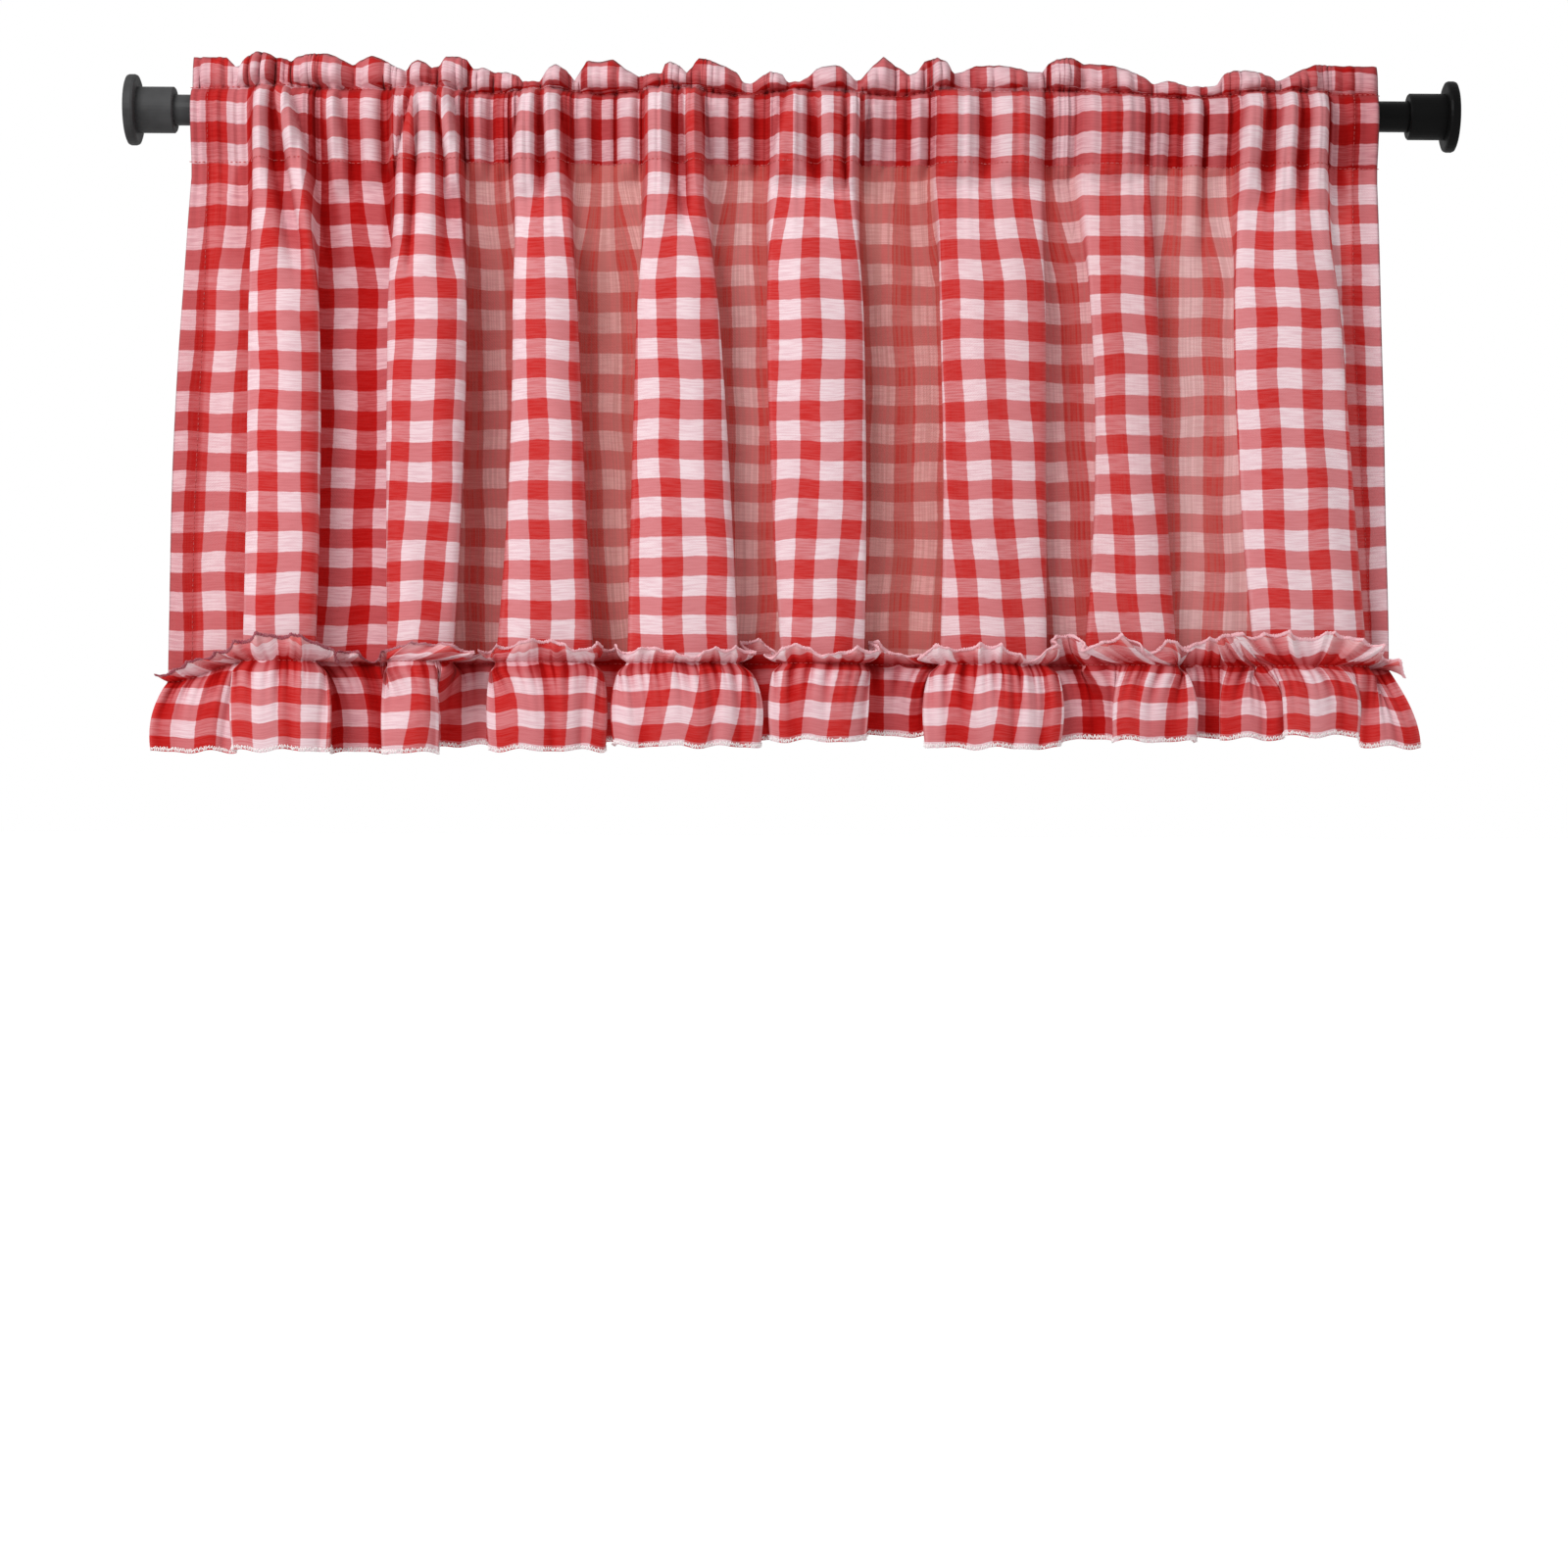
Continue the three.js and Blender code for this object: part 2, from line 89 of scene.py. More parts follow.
# The check: one red and one white stripe across and down, the red ones' own widths, where the cloth's
# two edges lie on it, the columns' share of the red, and how fast pink turns to red.
COLUMN_PERIOD = 28.8
RED_COLUMN = 13.3
ROW_PERIOD = 26.9
RED_ROW = 13.1
COLUMN_WIDTHS = (RED_COLUMN, COLUMN_PERIOD - RED_COLUMN)
LEFT_FLAT = 19.2
RIGHT_FLAT = 1205.4
COLUMN_SHARE = 0.535
PINK_POWER = 1.75

# Painted shade and painted light: how much deeper or paler the colour is in each kind of place,
# deeper where the cloth is doubled and where shade is painted on walls, between gathers and lobes,
# in the groove, in creases and along the ruffle's seam, paler where light is painted on rims and on
# the frill; and how wide and steep those places are.
DOUBLED_HEM = 0.45
# Painted highlight along the rims of the round faces.
RIM_PAINTED_HIGHLIGHT = -0.55
RIM_WIDTH = 1.8
# Painted shade in the walls between faces.
WALL_PAINTED_SHADE = 0.75
GATHER_SHADE = 1.1
STRIP_SHADE = 1.05
LEFT_SIDE_SHARE = 0.4
LIT_GATHER = 0.8
HEADING_SHADE = 0.4
LOBE_SHADE = 0.7
LOBE_FROM = 0.6
LOBE_LIT = 8.0
FOOT_SHADE = 0.5
FOOT_FADE = 1.8
GROOVE_SHADE = 1.4
GROOVE_WIDTH = 2.2
# Painted light that pales the frill towards its free edge.
FRILL_PAINTED_LIGHT = 1.0
CREASE_SHADE = 0.9
SEAM_SHADE = 0.5
SEAM_WIDTH = 0.08
NEAR_SEAM = 0.22
SHARP_PUFF = 2.0
PUFF_CREASE = 5.0
FRILL_CREASE = 4.0
FRILL_CREASE_SHADE = 1.1
FRILL_DEEP = 0.2
FRILL_FOOT_SHADE = 0.9
FRILL_FOOT_POWER = 3
SHARP_FRILL = 1.6
SHARP_POWER = 1.5
SEWN_DEEP = 0.6
SEWN_SHADE = 0.9
SEWN_CREASE = 1.4

# The ruffle: its seam, how far its rows stand off the panel, and how its frill and puffs spread.
RUFFLE_SEAM = -361.0
RUFFLE_FINENESS = 0.7
SEAM_WALL = 3.0
SEAM_OFFSET = 0.35
FREE_OFFSET = 5.4
HEM_OFFSET = 7.0
HEM_END = 845.0
FRILL_ROWS = 7
FRILL_LEAN = 4.5
LEAN_POWER = 1.6
RIPPLE_POWER = 0.8
FRILL_PUCKER = 0.5
FRILL_SPREAD_POWER = 0.7
FRILL_CLEAR = 3.0
LEAN_CLEAR = 0.5
FRILL_FURTHEST = 45.5
FRILL_BACK = -1.0
FRILL_SWAY = 0.4
FRILL_BOB = 0.3
FRILL_FLATNESS = 0.25
EDGE_SOFTENING = 2
CREST_SOFTENING = 5
LEAN_STEEPNESS = 5
FURTHEST_X = 880
FLOUNCE_ROWS = 26
FLOUNCE_CROWDING = 1.25
FREE_SHARE = 0.14
FLARE_POWER = 2.1
BULGE_POWER = 0.8
PUFF_SPREAD = 3.4
LEFT_SPREAD = 2.2
RIGHT_SPREAD = 1.5
BARREL = 0.05
BACK_FROM = 0.2
BACK_RUN = 0.55
LEFT_DROOP = 14.0
LEFT_SEWN_LENGTH = 52.0
DROOP_POWER = 6
LEFT_END_LENGTH = 56.0
RIGHT_DROOP = 2.0
RIGHT_END_LENGTH = 30.0
RUFFLE_ROW_STRETCH = 1.22
HEM_TO_RED_ROW = 11.5


def table(kind, *rows):
    """Rows with named columns."""
    return [kind(*row) for row in rows]


# One row for each face of the panel, left to right. Left edge at three heights; depth at the pocket
# and lower down; roundness; the flat place of its middle at three heights; the heights of three of
# its red rows; how sheer it hangs, which also sets the painted shade and painted light on the cloth
# that hangs back; and how deep its colour is, partly painted shade, and paler as painted light where
# it is negative.
Face = namedtuple(
    "Face",
    "name top mid foot head hang round flat_top flat_mid flat_foot row_top row_mid row_foot sheer deep",
)
FACES = table(
    Face,
    ("left side", 43.1, 32.9, 28.5, 6, 2, 2, 0, 0, 0, -43.2, -178.3, -334.9, 0.1, 0.3),
    ("fold A", 82.1, 82.3, 80.1, 13, 15, 8, 102.1, 102.1, 100.6, -35.6, -166.2, -324.5, 0, 0.1),
    ("recess 1", 122.6, 127.5, 125.6, 4, -8, -3, 173.4, 173.4, 178.2, -40.7, -174.9, -330.6, 0, 0.8),
    ("fold B", 174.5, 173.2, 174.5, 13, 16, 8, 252, 252, 259, -37.9, -172.2, -328.5, 0, 0.1),
    ("recess 2", 221.7, 221.9, 215.9, 4, -20, -2, 336.8, 336.8, 327.5, -39.9, -173.8, -327.8, 0.85, 0.1),
    ("fold C", 252.7, 255, 247.2, 13, 16, 8, 415.4, 415.4, 412.2, -37.5, -171.4, -326.9, 0, 0),
    ("recess 3", 291.7, 297.7, 305.4, 4, -8, -3, 481.4, 481.4, 475.4, -40.2, -176.3, -326.2, 1, -0.1),
    ("fold D", 338.8, 334.8, 331.6, 13, 19, 8, 560.6, 560.6, 559.6, -36.8, -171, -324.2, 0, 0),
    ("recess 4", 379.5, 391.4, 400.3, 4, -2, -2, 626.5, 626.5, 635.1, -38.9, -172.4, -322.2, 0.85, 0),
    ("fold E", 420, 422, 430, 13, 19, 8, 701.9, 701.9, 711.9, -37.9, -171.1, -325.5, 0, 0),
    ("recess 5", 477.9, 483, 483.5, 4, 0, -3, 783, 783, 786.2, -38.3, -171.4, -320.7, 1, 0.2),
    ("fold F", 528.3, 535.2, 535.2, 13, 19, 7, 869.6, 869.6, 857.6, -37.5, -170.7, -324.2, 0.08, 0.1),
    ("valley", 599.8, 600.7, 602, 6, 6, -2, 925, 925, 914, -36.9, -170.1, -322.3, 0.6, 0.5),
    ("fold G", 621.3, 634.2, 629.2, 13, 15, 6, 961.3, 966.3, 957.5, -35.2, -166, -321, 0.15, 0.15),
    ("recess 6", 671.2, 676.3, 686.5, 4, 4, -2, 1032.1, 1032.1, 1042.1, -33.9, -165.2, -318.2, 0.7, -0.2),
    ("fold H", 725.4, 725.8, 737.2, 13, 21, 8, 1116.8, 1116.8, 1121.3, -32.1, -162.2, -318.5, 0, 0),
    ("right side", 785.4, 795.7, 808.8, 4, 3, -1, 0, 0, 0, -39.1, -169.9, -330.1, 0, -0.25),
)
RIGHT_EDGE = (818.8, 823.8, 827.2)
RED_ROWS_APART = (0, 5, 11)

# How the strip runs round the rod from the pocket stitch in front to the heading stitch, and down
# behind it to its turned edge: height, depth, share of the folds kept, side of the seam.
PocketRow = namedtuple("PocketRow", "z ring share side")
POCKET_FRONT = table(
    PocketRow,
    (POCKET_STITCH, POCKET_DEPTH, 1, 0),
    (-17, 9.8, 0.97, 0),
    (0, 12.4, 0.9, 0),
    (9, 9.2, 0.7, 0),
    (HEADING_STITCH, 0, 0.4, LAYER_GAP),
)
POCKET_BACK = table(
    PocketRow,
    (HEADING_STITCH, 0, 0.4, -LAYER_GAP),
    (9, -9.2, 0, 0),
    (0, -12.4, 0, 0),
    (-15, -9.6, 0.2, 0),
    (-34, POCKET_DEPTH, 1, -2 * LAYER_GAP),
)
POCKET_STEPS = 5
BACK_STEPS = 3
HEADING_STEPS = 8
KEPT_BELOW = 0.4
KEPT_LOST = 0.2
TURN_POWER = 4

# Where the edges of the red and white columns lie on the gathered pocket: place along the rod, and
# flat place.
Knot = namedtuple("Knot", "x flat")
POCKET_COLUMNS = table(
    Knot,
    (43.3, 19.2), (52.9, 28.8), (66.9, 42.2), (80.2, 57.6), (84.7, 71), (95.6, 86.4), (104.5, 99.8),
    (120.5, 115.2), (124.3, 128.6), (127.5, 144), (131.9, 157.4), (145.3, 172.8), (153.5, 186.2),
    (167, 201.6), (176.6, 215), (182.9, 230.4), (190.2, 243.8), (204.5, 259.2), (208.1, 272.6),
    (219.3, 288), (222.5, 301.4), (224.4, 316.8), (228.1, 330.2), (240.3, 345.6), (248, 359),
    (249.9, 374.4), (253, 387.8), (268.3, 403.2), (274.1, 416.6), (284.9, 432), (293.2, 445.4),
    (304.6, 460.8), (311, 474.2), (319.3, 489.6), (320.6, 503), (335.9, 518.4), (342, 531.8),
    (356.9, 547.2), (361.4, 560.6), (365.9, 576), (378.6, 589.4), (393.9, 604.8), (400.5, 618.2),
    (410.1, 633.6), (421.2, 647), (427, 662.4), (436, 675.8), (444.8, 691.2), (454.4, 704.6),
    (462.1, 720), (472.9, 733.4), (479.3, 748.8), (482.5, 762.2), (503.5, 777.6), (513.1, 791),
    (524.5, 806.4), (525.8, 819.8), (529, 835.2), (543, 848.6), (557.1, 864), (564.7, 877.4),
    (578.1, 892.8), (589.6, 906.2), (600.4, 921.6), (605.5, 935), (618.8, 948), (622, 937),
    (636.1, 950.4), (650.1, 963.8), (665.4, 979.2), (668.6, 992.6), (681.4, 1008), (690.9, 1021.4),
    (704.3, 1036.8), (706.9, 1050.2), (719.6, 1065.6), (726.6, 1079), (740.6, 1094.4), (750.2, 1107.8),
    (763.5, 1123.2), (771.8, 1136.6), (785.3, 1152), (786.5, 1165.4), (792.2, 1180.8), (806.3, 1194.2),
    (817.7, 1205.4),
)
KNOTS_END = -120.0

# The uneven top of the heading: place along the rod and height over the rod's middle.
Hump = namedtuple("Hump", "x z")
HEADING = table(
    Hump,
    (43, 34.6), (64.5, 34.7), (70.5, 28.5), (73.2, 29.4), (78.6, 35.7), (85.8, 38), (93.8, 35.8),
    (98.3, 34), (104.6, 33), (106.4, 31.4), (111.8, 35), (120.7, 36.8), (131.5, 36.9), (140.4, 33.3),
    (147.6, 29.8), (153, 33.4), (160.1, 35.8), (167.3, 33.5), (176.3, 28.2), (182.5, 25.5),
    (185.2, 30.9), (190.6, 32.7), (195.1, 31), (199.6, 27.4), (204.9, 30.1), (208.5, 34.6),
    (215.7, 35.5), (222, 33.8), (226.5, 27.5), (233.6, 28.5), (240.8, 25.8), (248, 25.9), (256, 23.2),
    (258.7, 19.8), (269.5, 19), (273.9, 26), (280.2, 30.5), (287.4, 27), (292.8, 20.9), (297.2, 28),
    (301, 33.4), (307.9, 32.5), (318.6, 34.3), (325.8, 28.1), (334.7, 23.7), (343.7, 24.6), (350, 24.7),
    (351.8, 31), (355.3, 32.8), (361.6, 30.1), (366.1, 24.8), (369.7, 29.2), (374.2, 35.2),
    (379.5, 34.7), (390.3, 30.3), (399.3, 26.7), (402.8, 21), (408.2, 20), (413.6, 23.2), (420.8, 26.9),
    (428.8, 25.1), (432.4, 19.8), (440.5, 19.8), (445.9, 23.4), (451.2, 28.8), (463.8, 30.7),
    (469.1, 28.9), (476.3, 21.8), (479.9, 21.8), (487.1, 29.9), (495.1, 37.1), (501.4, 32.7),
    (512.2, 25.6), (517.5, 27.4), (522, 34.6), (530.1, 36.1), (537.3, 32.9), (540.8, 25.7), (548, 27.6),
    (555.2, 31.2), (570.3, 31.3), (581, 29.9), (590, 27.3), (598.9, 27.3), (603.4, 33.6), (607.9, 35.5),
    (616.9, 36.9), (622.2, 35.5), (625.8, 32.9), (636.6, 32.4), (647.3, 31.2), (658.1, 27.7),
    (665.2, 25), (672.4, 20.8), (681.4, 23.3), (690, 21.6), (696.6, 19.8), (701.1, 20.4), (708.3, 19.8),
    (713.6, 20.4), (718.1, 27.1), (724.4, 29.3), (736.9, 28.1), (747.7, 25.5), (753.1, 21.9),
    (758.4, 23.8), (767.4, 29.2), (778.1, 32.9), (785.3, 33.3), (797.9, 33), (820, 32.8),
)

# Where the heading's columns start, red and white by turns, the first one red: place along the rod.
HEADING_COLUMNS = [
    54.4, 65.5, 76.8, 82, 92, 101, 106, 109, 122.5, 128.2, 140.4, 149.4, 158.4, 168.2, 183.4, 185,
    192.4, 206.7, 222.9, 225.6, 237.2, 245.3, 251.5, 272, 283.8, 291, 297.2, 300.7, 315, 322.2, 333.8,
    354.4, 366.1, 379.5, 391.2, 402.8, 409.1, 420.8, 431.5, 449, 463.8, 470.9, 478.1, 484.4, 506, 512.2,
    523.8, 526.5, 539, 541, 551.6, 562.3, 577.4, 589.1, 602.5, 604.3, 619.5, 624, 637.5, 647.3, 660.8,
    672.4, 681.4, 693.9, 702.9, 706.5, 718, 727.1, 740.5, 751.3, 760, 778.1, 790.7, 804.1,
]
HEADING_START = Knot(43.3, LEFT_FLAT)
HEADING_ROW = -58.4

# How much higher or lower than its mean the heading stitch runs: place along the rod and height.
GROOVE = table(
    Hump,
    (48, 0.8), (95, 1.6), (134, 0.4), (169, 0.5), (200, 1.6), (236, -2.2), (272, 0.4), (313, -2.2),
    (359, 1.6), (399, -2.0), (438, 0.2), (465, -0.5), (506, -2.3), (534, 1.4), (570, 0), (612, 1.2),
    (646, -0.4), (695, -2.2), (755, 1.6), (803, 0.4),
)
GROOVE_REACH = 9.0

# Small gathers that stand out of the pocket and run on below it: left and right side at the heading
# stitch, at the pocket stitch and where they end, the height where they end, and how far they stand
# out.
Gather = namedtuple("Gather", "top_left top_right low_left low_right end_left end_right end_z out")
GATHERS = table(
    Gather,
    (85.6, 96.2, 83.5, 97, 81.6, 113.4, -118, 14),
    (97.5, 107.4, 105.1, 122.2, 121.1, 134.4, -118, 14),
    (126.7, 139.4, 131.8, 146.5, 132.5, 148.4, -57, 9),
    (150.3, 167.5, 152.9, 168.1, 152.9, 169.4, -51, 7),
    (174.4, 188.5, 171.3, 177.6, 170.7, 176.3, -43, 7),
    (188.5, 196.1, 177.6, 189.7, 174.4, 185.9, -115, 12),
    (192.2, 203.1, 190.3, 208.8, 185.9, 210.1, -115, 14),
    (203.1, 213.3, 209.4, 221.6, 210.1, 222.2, -60, 14),
    (220.9, 238.1, 222.2, 236.8, 222.8, 236.8, -47, 7),
    (241.9, 257.8, 240.6, 250.8, 240.6, 250.8, -44, 5.5),
    (259, 270.6, 252.1, 269.9, 252.7, 272.5, -60, 14),
    (271.8, 283.9, 274.3, 287.7, 273.7, 293.4, -60, 14),
    (292.8, 306.2, 292.8, 306.2, 292.8, 306.7, -44, 5.5),
    (319.5, 336.7, 320.2, 336.7, 320.2, 336.7, -47, 7),
    (338.6, 357.6, 338.6, 358.3, 336.1, 366.6, -82, 14),
    (362.8, 376.1, 366, 379.3, 367.9, 385.7, -82, 15),
    (379.3, 394.6, 381.9, 393.9, 381.9, 393.9, -43, 5.5),
    (399, 410.5, 399, 410.5, 399, 410.5, -43, 5.5),
    (431.5, 445.5, 420.1, 448, 420.1, 451.9, -49, 12),
    (448.7, 469.7, 453.1, 469.7, 455.7, 471, -52, 14),
    (469.7, 487.5, 469.7, 479.8, 471, 482.4, -52, 12),
    (486.9, 495.7, 486.2, 495.1, 486.2, 495.1, -42, 5.5),
    (511.6, 525, 512.9, 524.4, 512.9, 524.4, -42, 5.5),
    (526.9, 558.7, 526.9, 561.2, 526.9, 561.2, -49, 9),
    (561.2, 600.7, 563.8, 600.7, 563.8, 600.7, -48, 10),
    (604.6, 620.5, 605.8, 618.5, 605.8, 618.5, -45, 5.5),
    (621.7, 666.2, 621.7, 666.2, 621.7, 666.2, -45, 7),
    (668.8, 684.7, 670.1, 680.9, 670.1, 680.9, -41, 4),
    (693.6, 704.4, 690.5, 704.4, 689.8, 704.4, -96, 9),
    (705.7, 722.3, 705.7, 719.7, 705.7, 719.7, -41, 4),
    (729.2, 745.1, 724.8, 741.4, 725.5, 744.5, -63, 12),
    (754.1, 766.8, 748.9, 764.8, 747.7, 767.4, -63, 12),
    (772.5, 784.6, 770, 785.2, 771.2, 789.1, -63, 12),
)
DEEPEST_GATHER = 13.0
GATHER_REACH = 28.0
GATHER_FADE = 1.8
GATHER_SQUARENESS = 2.4
GATHER_FULLNESS = 0.8
GATHER_SIDES = 1.5
DRAWN_MORE = 1.6
DRAWN_REACH = 9.0
PINCH_REACH = 1.3
PINCH_FROM = 2.3
PINCH_RUN = 2.2
PINCH_DEPTH = 0.8
# Painted shade in the dips where cloth is drawn in sharply.
PINCH_SHADE = 1.3

# Puffs of the heading between its tight gathers: left and right side, and how far each stands out.
Lobe = namedtuple("Lobe", "left right out")
LOBES = table(
    Lobe,
    (44.9, 68, 2.9), (71.8, 79.8, 8), (79.8, 88, 12), (88, 96.1, 9), (102.5, 148.6, 10.2),
    (148.6, 183.2, 7.2), (183.8, 198.5, 8.7), (204.3, 222.8, 8.7), (222.8, 239.5, 5.8),
    (239.5, 260, 5.8), (272.8, 288.8, 10.2), (290.7, 335.5, 10.2), (336.8, 350.2, 5.8),
    (351.5, 369.4, 10.2), (370, 404, 10.2), (409.1, 433.4, 8.7), (435.3, 448.1, 5.8),
    (448.8, 476.3, 8.7), (478.2, 503.2, 8.7), (503.2, 521.7, 5.8), (522.4, 540.3, 11.6),
    (551.2, 602.4, 5.8), (603.6, 624.1, 11.6), (624.8, 672.8, 5.8), (673.4, 696.4, 4.3),
    (701.6, 716.9, 2.9), (716.9, 754, 8.7), (757.9, 780.3, 7.2), (780.9, 818, 1.4),
)
LOBE_DIP = 1.0
LOBE_SQUARENESS = 2.2
LOBE_RISE = 0.8
LOBE_TOP = 0.25
CRUMPLED = 0.5
CRUMPLED_MIDDLE = 0.6

# One row for each face of the ruffle: the panel's face it is sewn on, with the share of that face in
# its decimals; left edge, depth, height and roundness at the hem; how far it bulges on the way down;
# where its stripes start; how deep its colour is, for cloth doubled over the panel and for painted
# shade; the two ends of its frill; how far its columns lean over; and how much higher its rows lie.
Puff = namedtuple(
    "Puff",
    "name on hem depth z round bulge stripe deep frill_left frill_right lean row",
)
FLOUNCE = table(
    Puff,
    ("left flare", 0, 18.4, 9, -421, 4, 2, 0, 0.25, 23.2, 65.3, 0, -6),
    ("puff A", 1, 74.8, 24, -420, 6, 4, 26.9, 0.05, 65.3, 143.6, 0, 5.5),
    ("recess 1", 2, 136.6, -3, -420.5, -2, 0, 6.4, 1.0, 136.7, 165.4, 0, 2),
    ("puff B", 2.86, 172.2, 22, -421, 5, 4, 16, 0.1, 163.4, 231.8, 14, 1.5),
    ("recess 2", 3.78, 206.6, -10, -416, -2, 0, 0, 0.55, 224.4, 234.3, 0, 0),
    ("puff C", 5, 241.6, 24, -419, 7, 4, 22.4, 0.2, 230.8, 314.8, 3, 0),
    ("recess 3", 6, 315.5, 5, -413, 0, 0, 6.4, 0.1, 312.1, 321, 0, 0),
    ("puff D", 7, 322.6, 27, -416, 9, 4, 12.8, 0.12, 320.1, 412.5, 14, 0),
    ("recess 4", 8, 416.2, 3, -410, 0, 0, 6.4, 0.25, 405.2, 426.1, 0, 0),
    ("puff E", 9, 424.1, 26, -412, 6, 4, 22.4, 0.12, 419.6, 495.9, 5, 0),
    ("recess 5", 10, 484.7, 3, -408, -2, 0, 0, 0.9, 486.5, 522.2, 0, 0),
    ("puff F", 11, 524.7, 26, -416, 8, 4, 16, 0.12, 519, 614, 8, 0),
    ("valley", 12, 611.5, 17, -410, -1, 0, 13.4, 1.05, 604.4, 625.2, 0, 0),
    ("puff G", 13.35, 646, 26, -411, 6, 5, 25.6, 0.12, 623.7, 696, 0, 0),
    ("recess 6", 14.1, 698.8, 8, -408.6, -1, 0, 19.8, 0.9, 691, 719.4, 0, 0),
    ("puff H", 14.6, 716.4, 16, -409, 4, 2, 0, 0.3, 713.4, 732.3, 0, 0),
    ("puff I", 15.1, 757, 25, -407, 6, 4, 26.2, 0, 720.5, 820, 0, 0),
    ("right flare", 15.78, 805, 25, -414, 7, 2, 0, 0.2, 815, 839.5, 0, 0),
)

# The wavy top of the frill above the seam: face of the ruffle with the share of it in the decimals,
# and height.
Crest = namedtuple("Crest", "on z")
FRILL = table(
    Crest,
    (0, -371), (0.25, -366), (0.58, -361.9), (0.87, -357.4), (0.98, -356.2), (1, -356.2),
    (1.05, -352.9), (1.16, -348.4), (1.32, -344.8), (1.43, -344.2), (1.63, -345.2), (1.78, -348.2),
    (1.9, -352.6), (1.96, -357.9), (1.98, -362.3), (2, -357.9), (2.25, -353.4), (2.4, -352.1),
    (2.61, -356.4), (2.82, -360.4), (2.98, -359.5), (3, -359.5), (3.08, -355), (3.23, -351.4),
    (3.43, -350.5), (3.64, -349), (3.82, -351.2), (3.94, -354.7), (3.98, -357.4), (4, -355.6),
    (4.98, -355.6), (5, -354.7), (5.11, -352.9), (5.25, -351), (5.4, -348.3), (5.6, -346.4),
    (5.69, -350.8), (5.76, -354.3), (5.88, -350.7), (5.96, -348.4), (5.98, -350.7), (6, -351.6),
    (6.98, -351.5), (7, -349.8), (7.06, -353.6), (7.19, -353.2), (7.27, -351.4), (7.38, -353.1),
    (7.47, -356.6), (7.55, -359.2), (7.62, -354.8), (7.72, -352.9), (7.85, -352), (7.95, -351.4),
    (7.98, -353.7), (8, -346.6), (8.26, -343), (8.59, -345.7), (8.88, -350.1), (8.98, -354.5),
    (9, -355.4), (9.06, -357.7), (9.14, -351.8), (9.25, -349.1), (9.36, -350.8), (9.48, -357.5),
    (9.59, -356), (9.71, -351.6), (9.82, -350.6), (9.94, -352.7), (9.98, -355), (10, -344.4),
    (10.09, -345.3), (10.31, -349.6), (10.55, -355.8), (10.98, -354), (11, -358.4), (11.07, -350.4),
    (11.13, -348.6), (11.18, -352.1), (11.28, -351.2), (11.42, -348.1), (11.55, -349.8),
    (11.67, -355.8), (11.74, -359.3), (11.8, -355.7), (11.87, -350.3), (11.98, -349.4), (12, -345.9),
    (12.36, -342.3), (12.82, -340.5), (12.98, -345.8), (13, -351.1), (13.18, -347.5), (13.35, -342.1),
    (13.47, -344.7), (13.59, -354.9), (13.71, -346.7), (13.83, -345.4), (13.94, -347.7),
    (13.98, -349.5), (14, -348), (14.35, -345.3), (14.63, -343.5), (14.98, -345.3), (15, -344.4),
    (15.37, -339.9), (15.64, -340.8), (15.98, -343.4), (16, -340.4), (16.1, -342.9), (16.17, -342.5),
    (16.24, -340.3), (16.33, -339.7), (16.42, -343.2), (16.49, -343.2), (16.59, -340.5), (16.7, -341.3),
    (16.84, -344.8), (16.98, -348.2), (17, -351.8), (17.62, -356.2), (17.84, -361.5), (17.98, -369.4),
)
FACE_SHARE = 0.98

# Soft waves that make the cloth uneven: length along the cloth, length down it, height and start.
Wave = namedtuple("Wave", "along down height start")
PANEL_WAVES = table(
    Wave, (83, 260, 0.7, 0.3), (47, 190, 0.7, 1.9), (29, 330, 0.55, 4.1), (131, 118, 0.5, 2.7)
)
ROW_WAVES = table(Wave, (61, 210, 0.45, 0.7), (33, -300, 0.3, 2.0), (150, 95, 0.5, 4.4))
COLUMN_WAVES = table(Wave, (210, 97, 0.5, 1.2), (-90, 61, 0.25, 3.0))
GATHER_WAVES = table(Wave, (7.3, 900, 0.55, 0.0), (11.9, 700, 0.6, 2.2), (5.1, 800, 0.3, 4.0))
TILT_WAVES = table(Wave, (900, 900, 1.3, 1.7), (37, 900, 1.1, 1.4), (23, 900, 0.8, 3.1))
HEM_WAVES = table(Wave, (34, 900, 0.9, 0.6), (21, 900, 0.5, 2.4))

# Ripples of the frill's free edge: length along it, how far they stand out, start, and how much their
# spacing wanders.
Ripple = namedtuple("Ripple", "length out start wander")
RIPPLES = table(Ripple, (19.0, 2.6, 0.9, 5.0), (11.3, 1.6, 3.3, 3.0), (37.0, 1.6, 5.2, 8.0))
RIPPLE_WANDER = 83

# Gathers that run down from the ruffle's seam, round outside and sharp inside: width, how far they
# stand out at the seam and at the hem, start, and how much their spacing wanders.
Pucker = namedtuple("Pucker", "width seam hem start wander")
PUCKERS = table(
    Pucker, (11.5, 5.0, 0.3, 0.3, 6.0), (29.0, 4.0, 3.6, 1.7, 9.0), (6.9, 2.8, 0.0, 2.6, 4.0)
)
PUCKER_WANDER = 71
PUCKER_ROUND = 0.8
PUCKER_MEAN = 0.66
PUCKER_FADE = 1.9
CREASE_POWER = 3

# The weave: how far the edges of the stripes wander and how soft they are, in metres, and how much
# the slubs and the fine lines are stretched; then how strong each effect is.
EDGE_WANDER = 0.0011
EDGE_SOFTNESS = 0.0004
SLUB_STRETCH = (70, 1050, 1)
LINE_STRETCH = (640, 9, 1)
DEEP_POWER = 0.6
DEEP_TINT = 0.5
LINE_STRENGTH = 0.42
THROUGH_LIGHT = 0.2
LEAST_FLECK = 0.04
SLUB_HEIGHT = 1.5
WHITE = (1, 1, 1, 1)
BLACK = (0, 0, 0, 1)

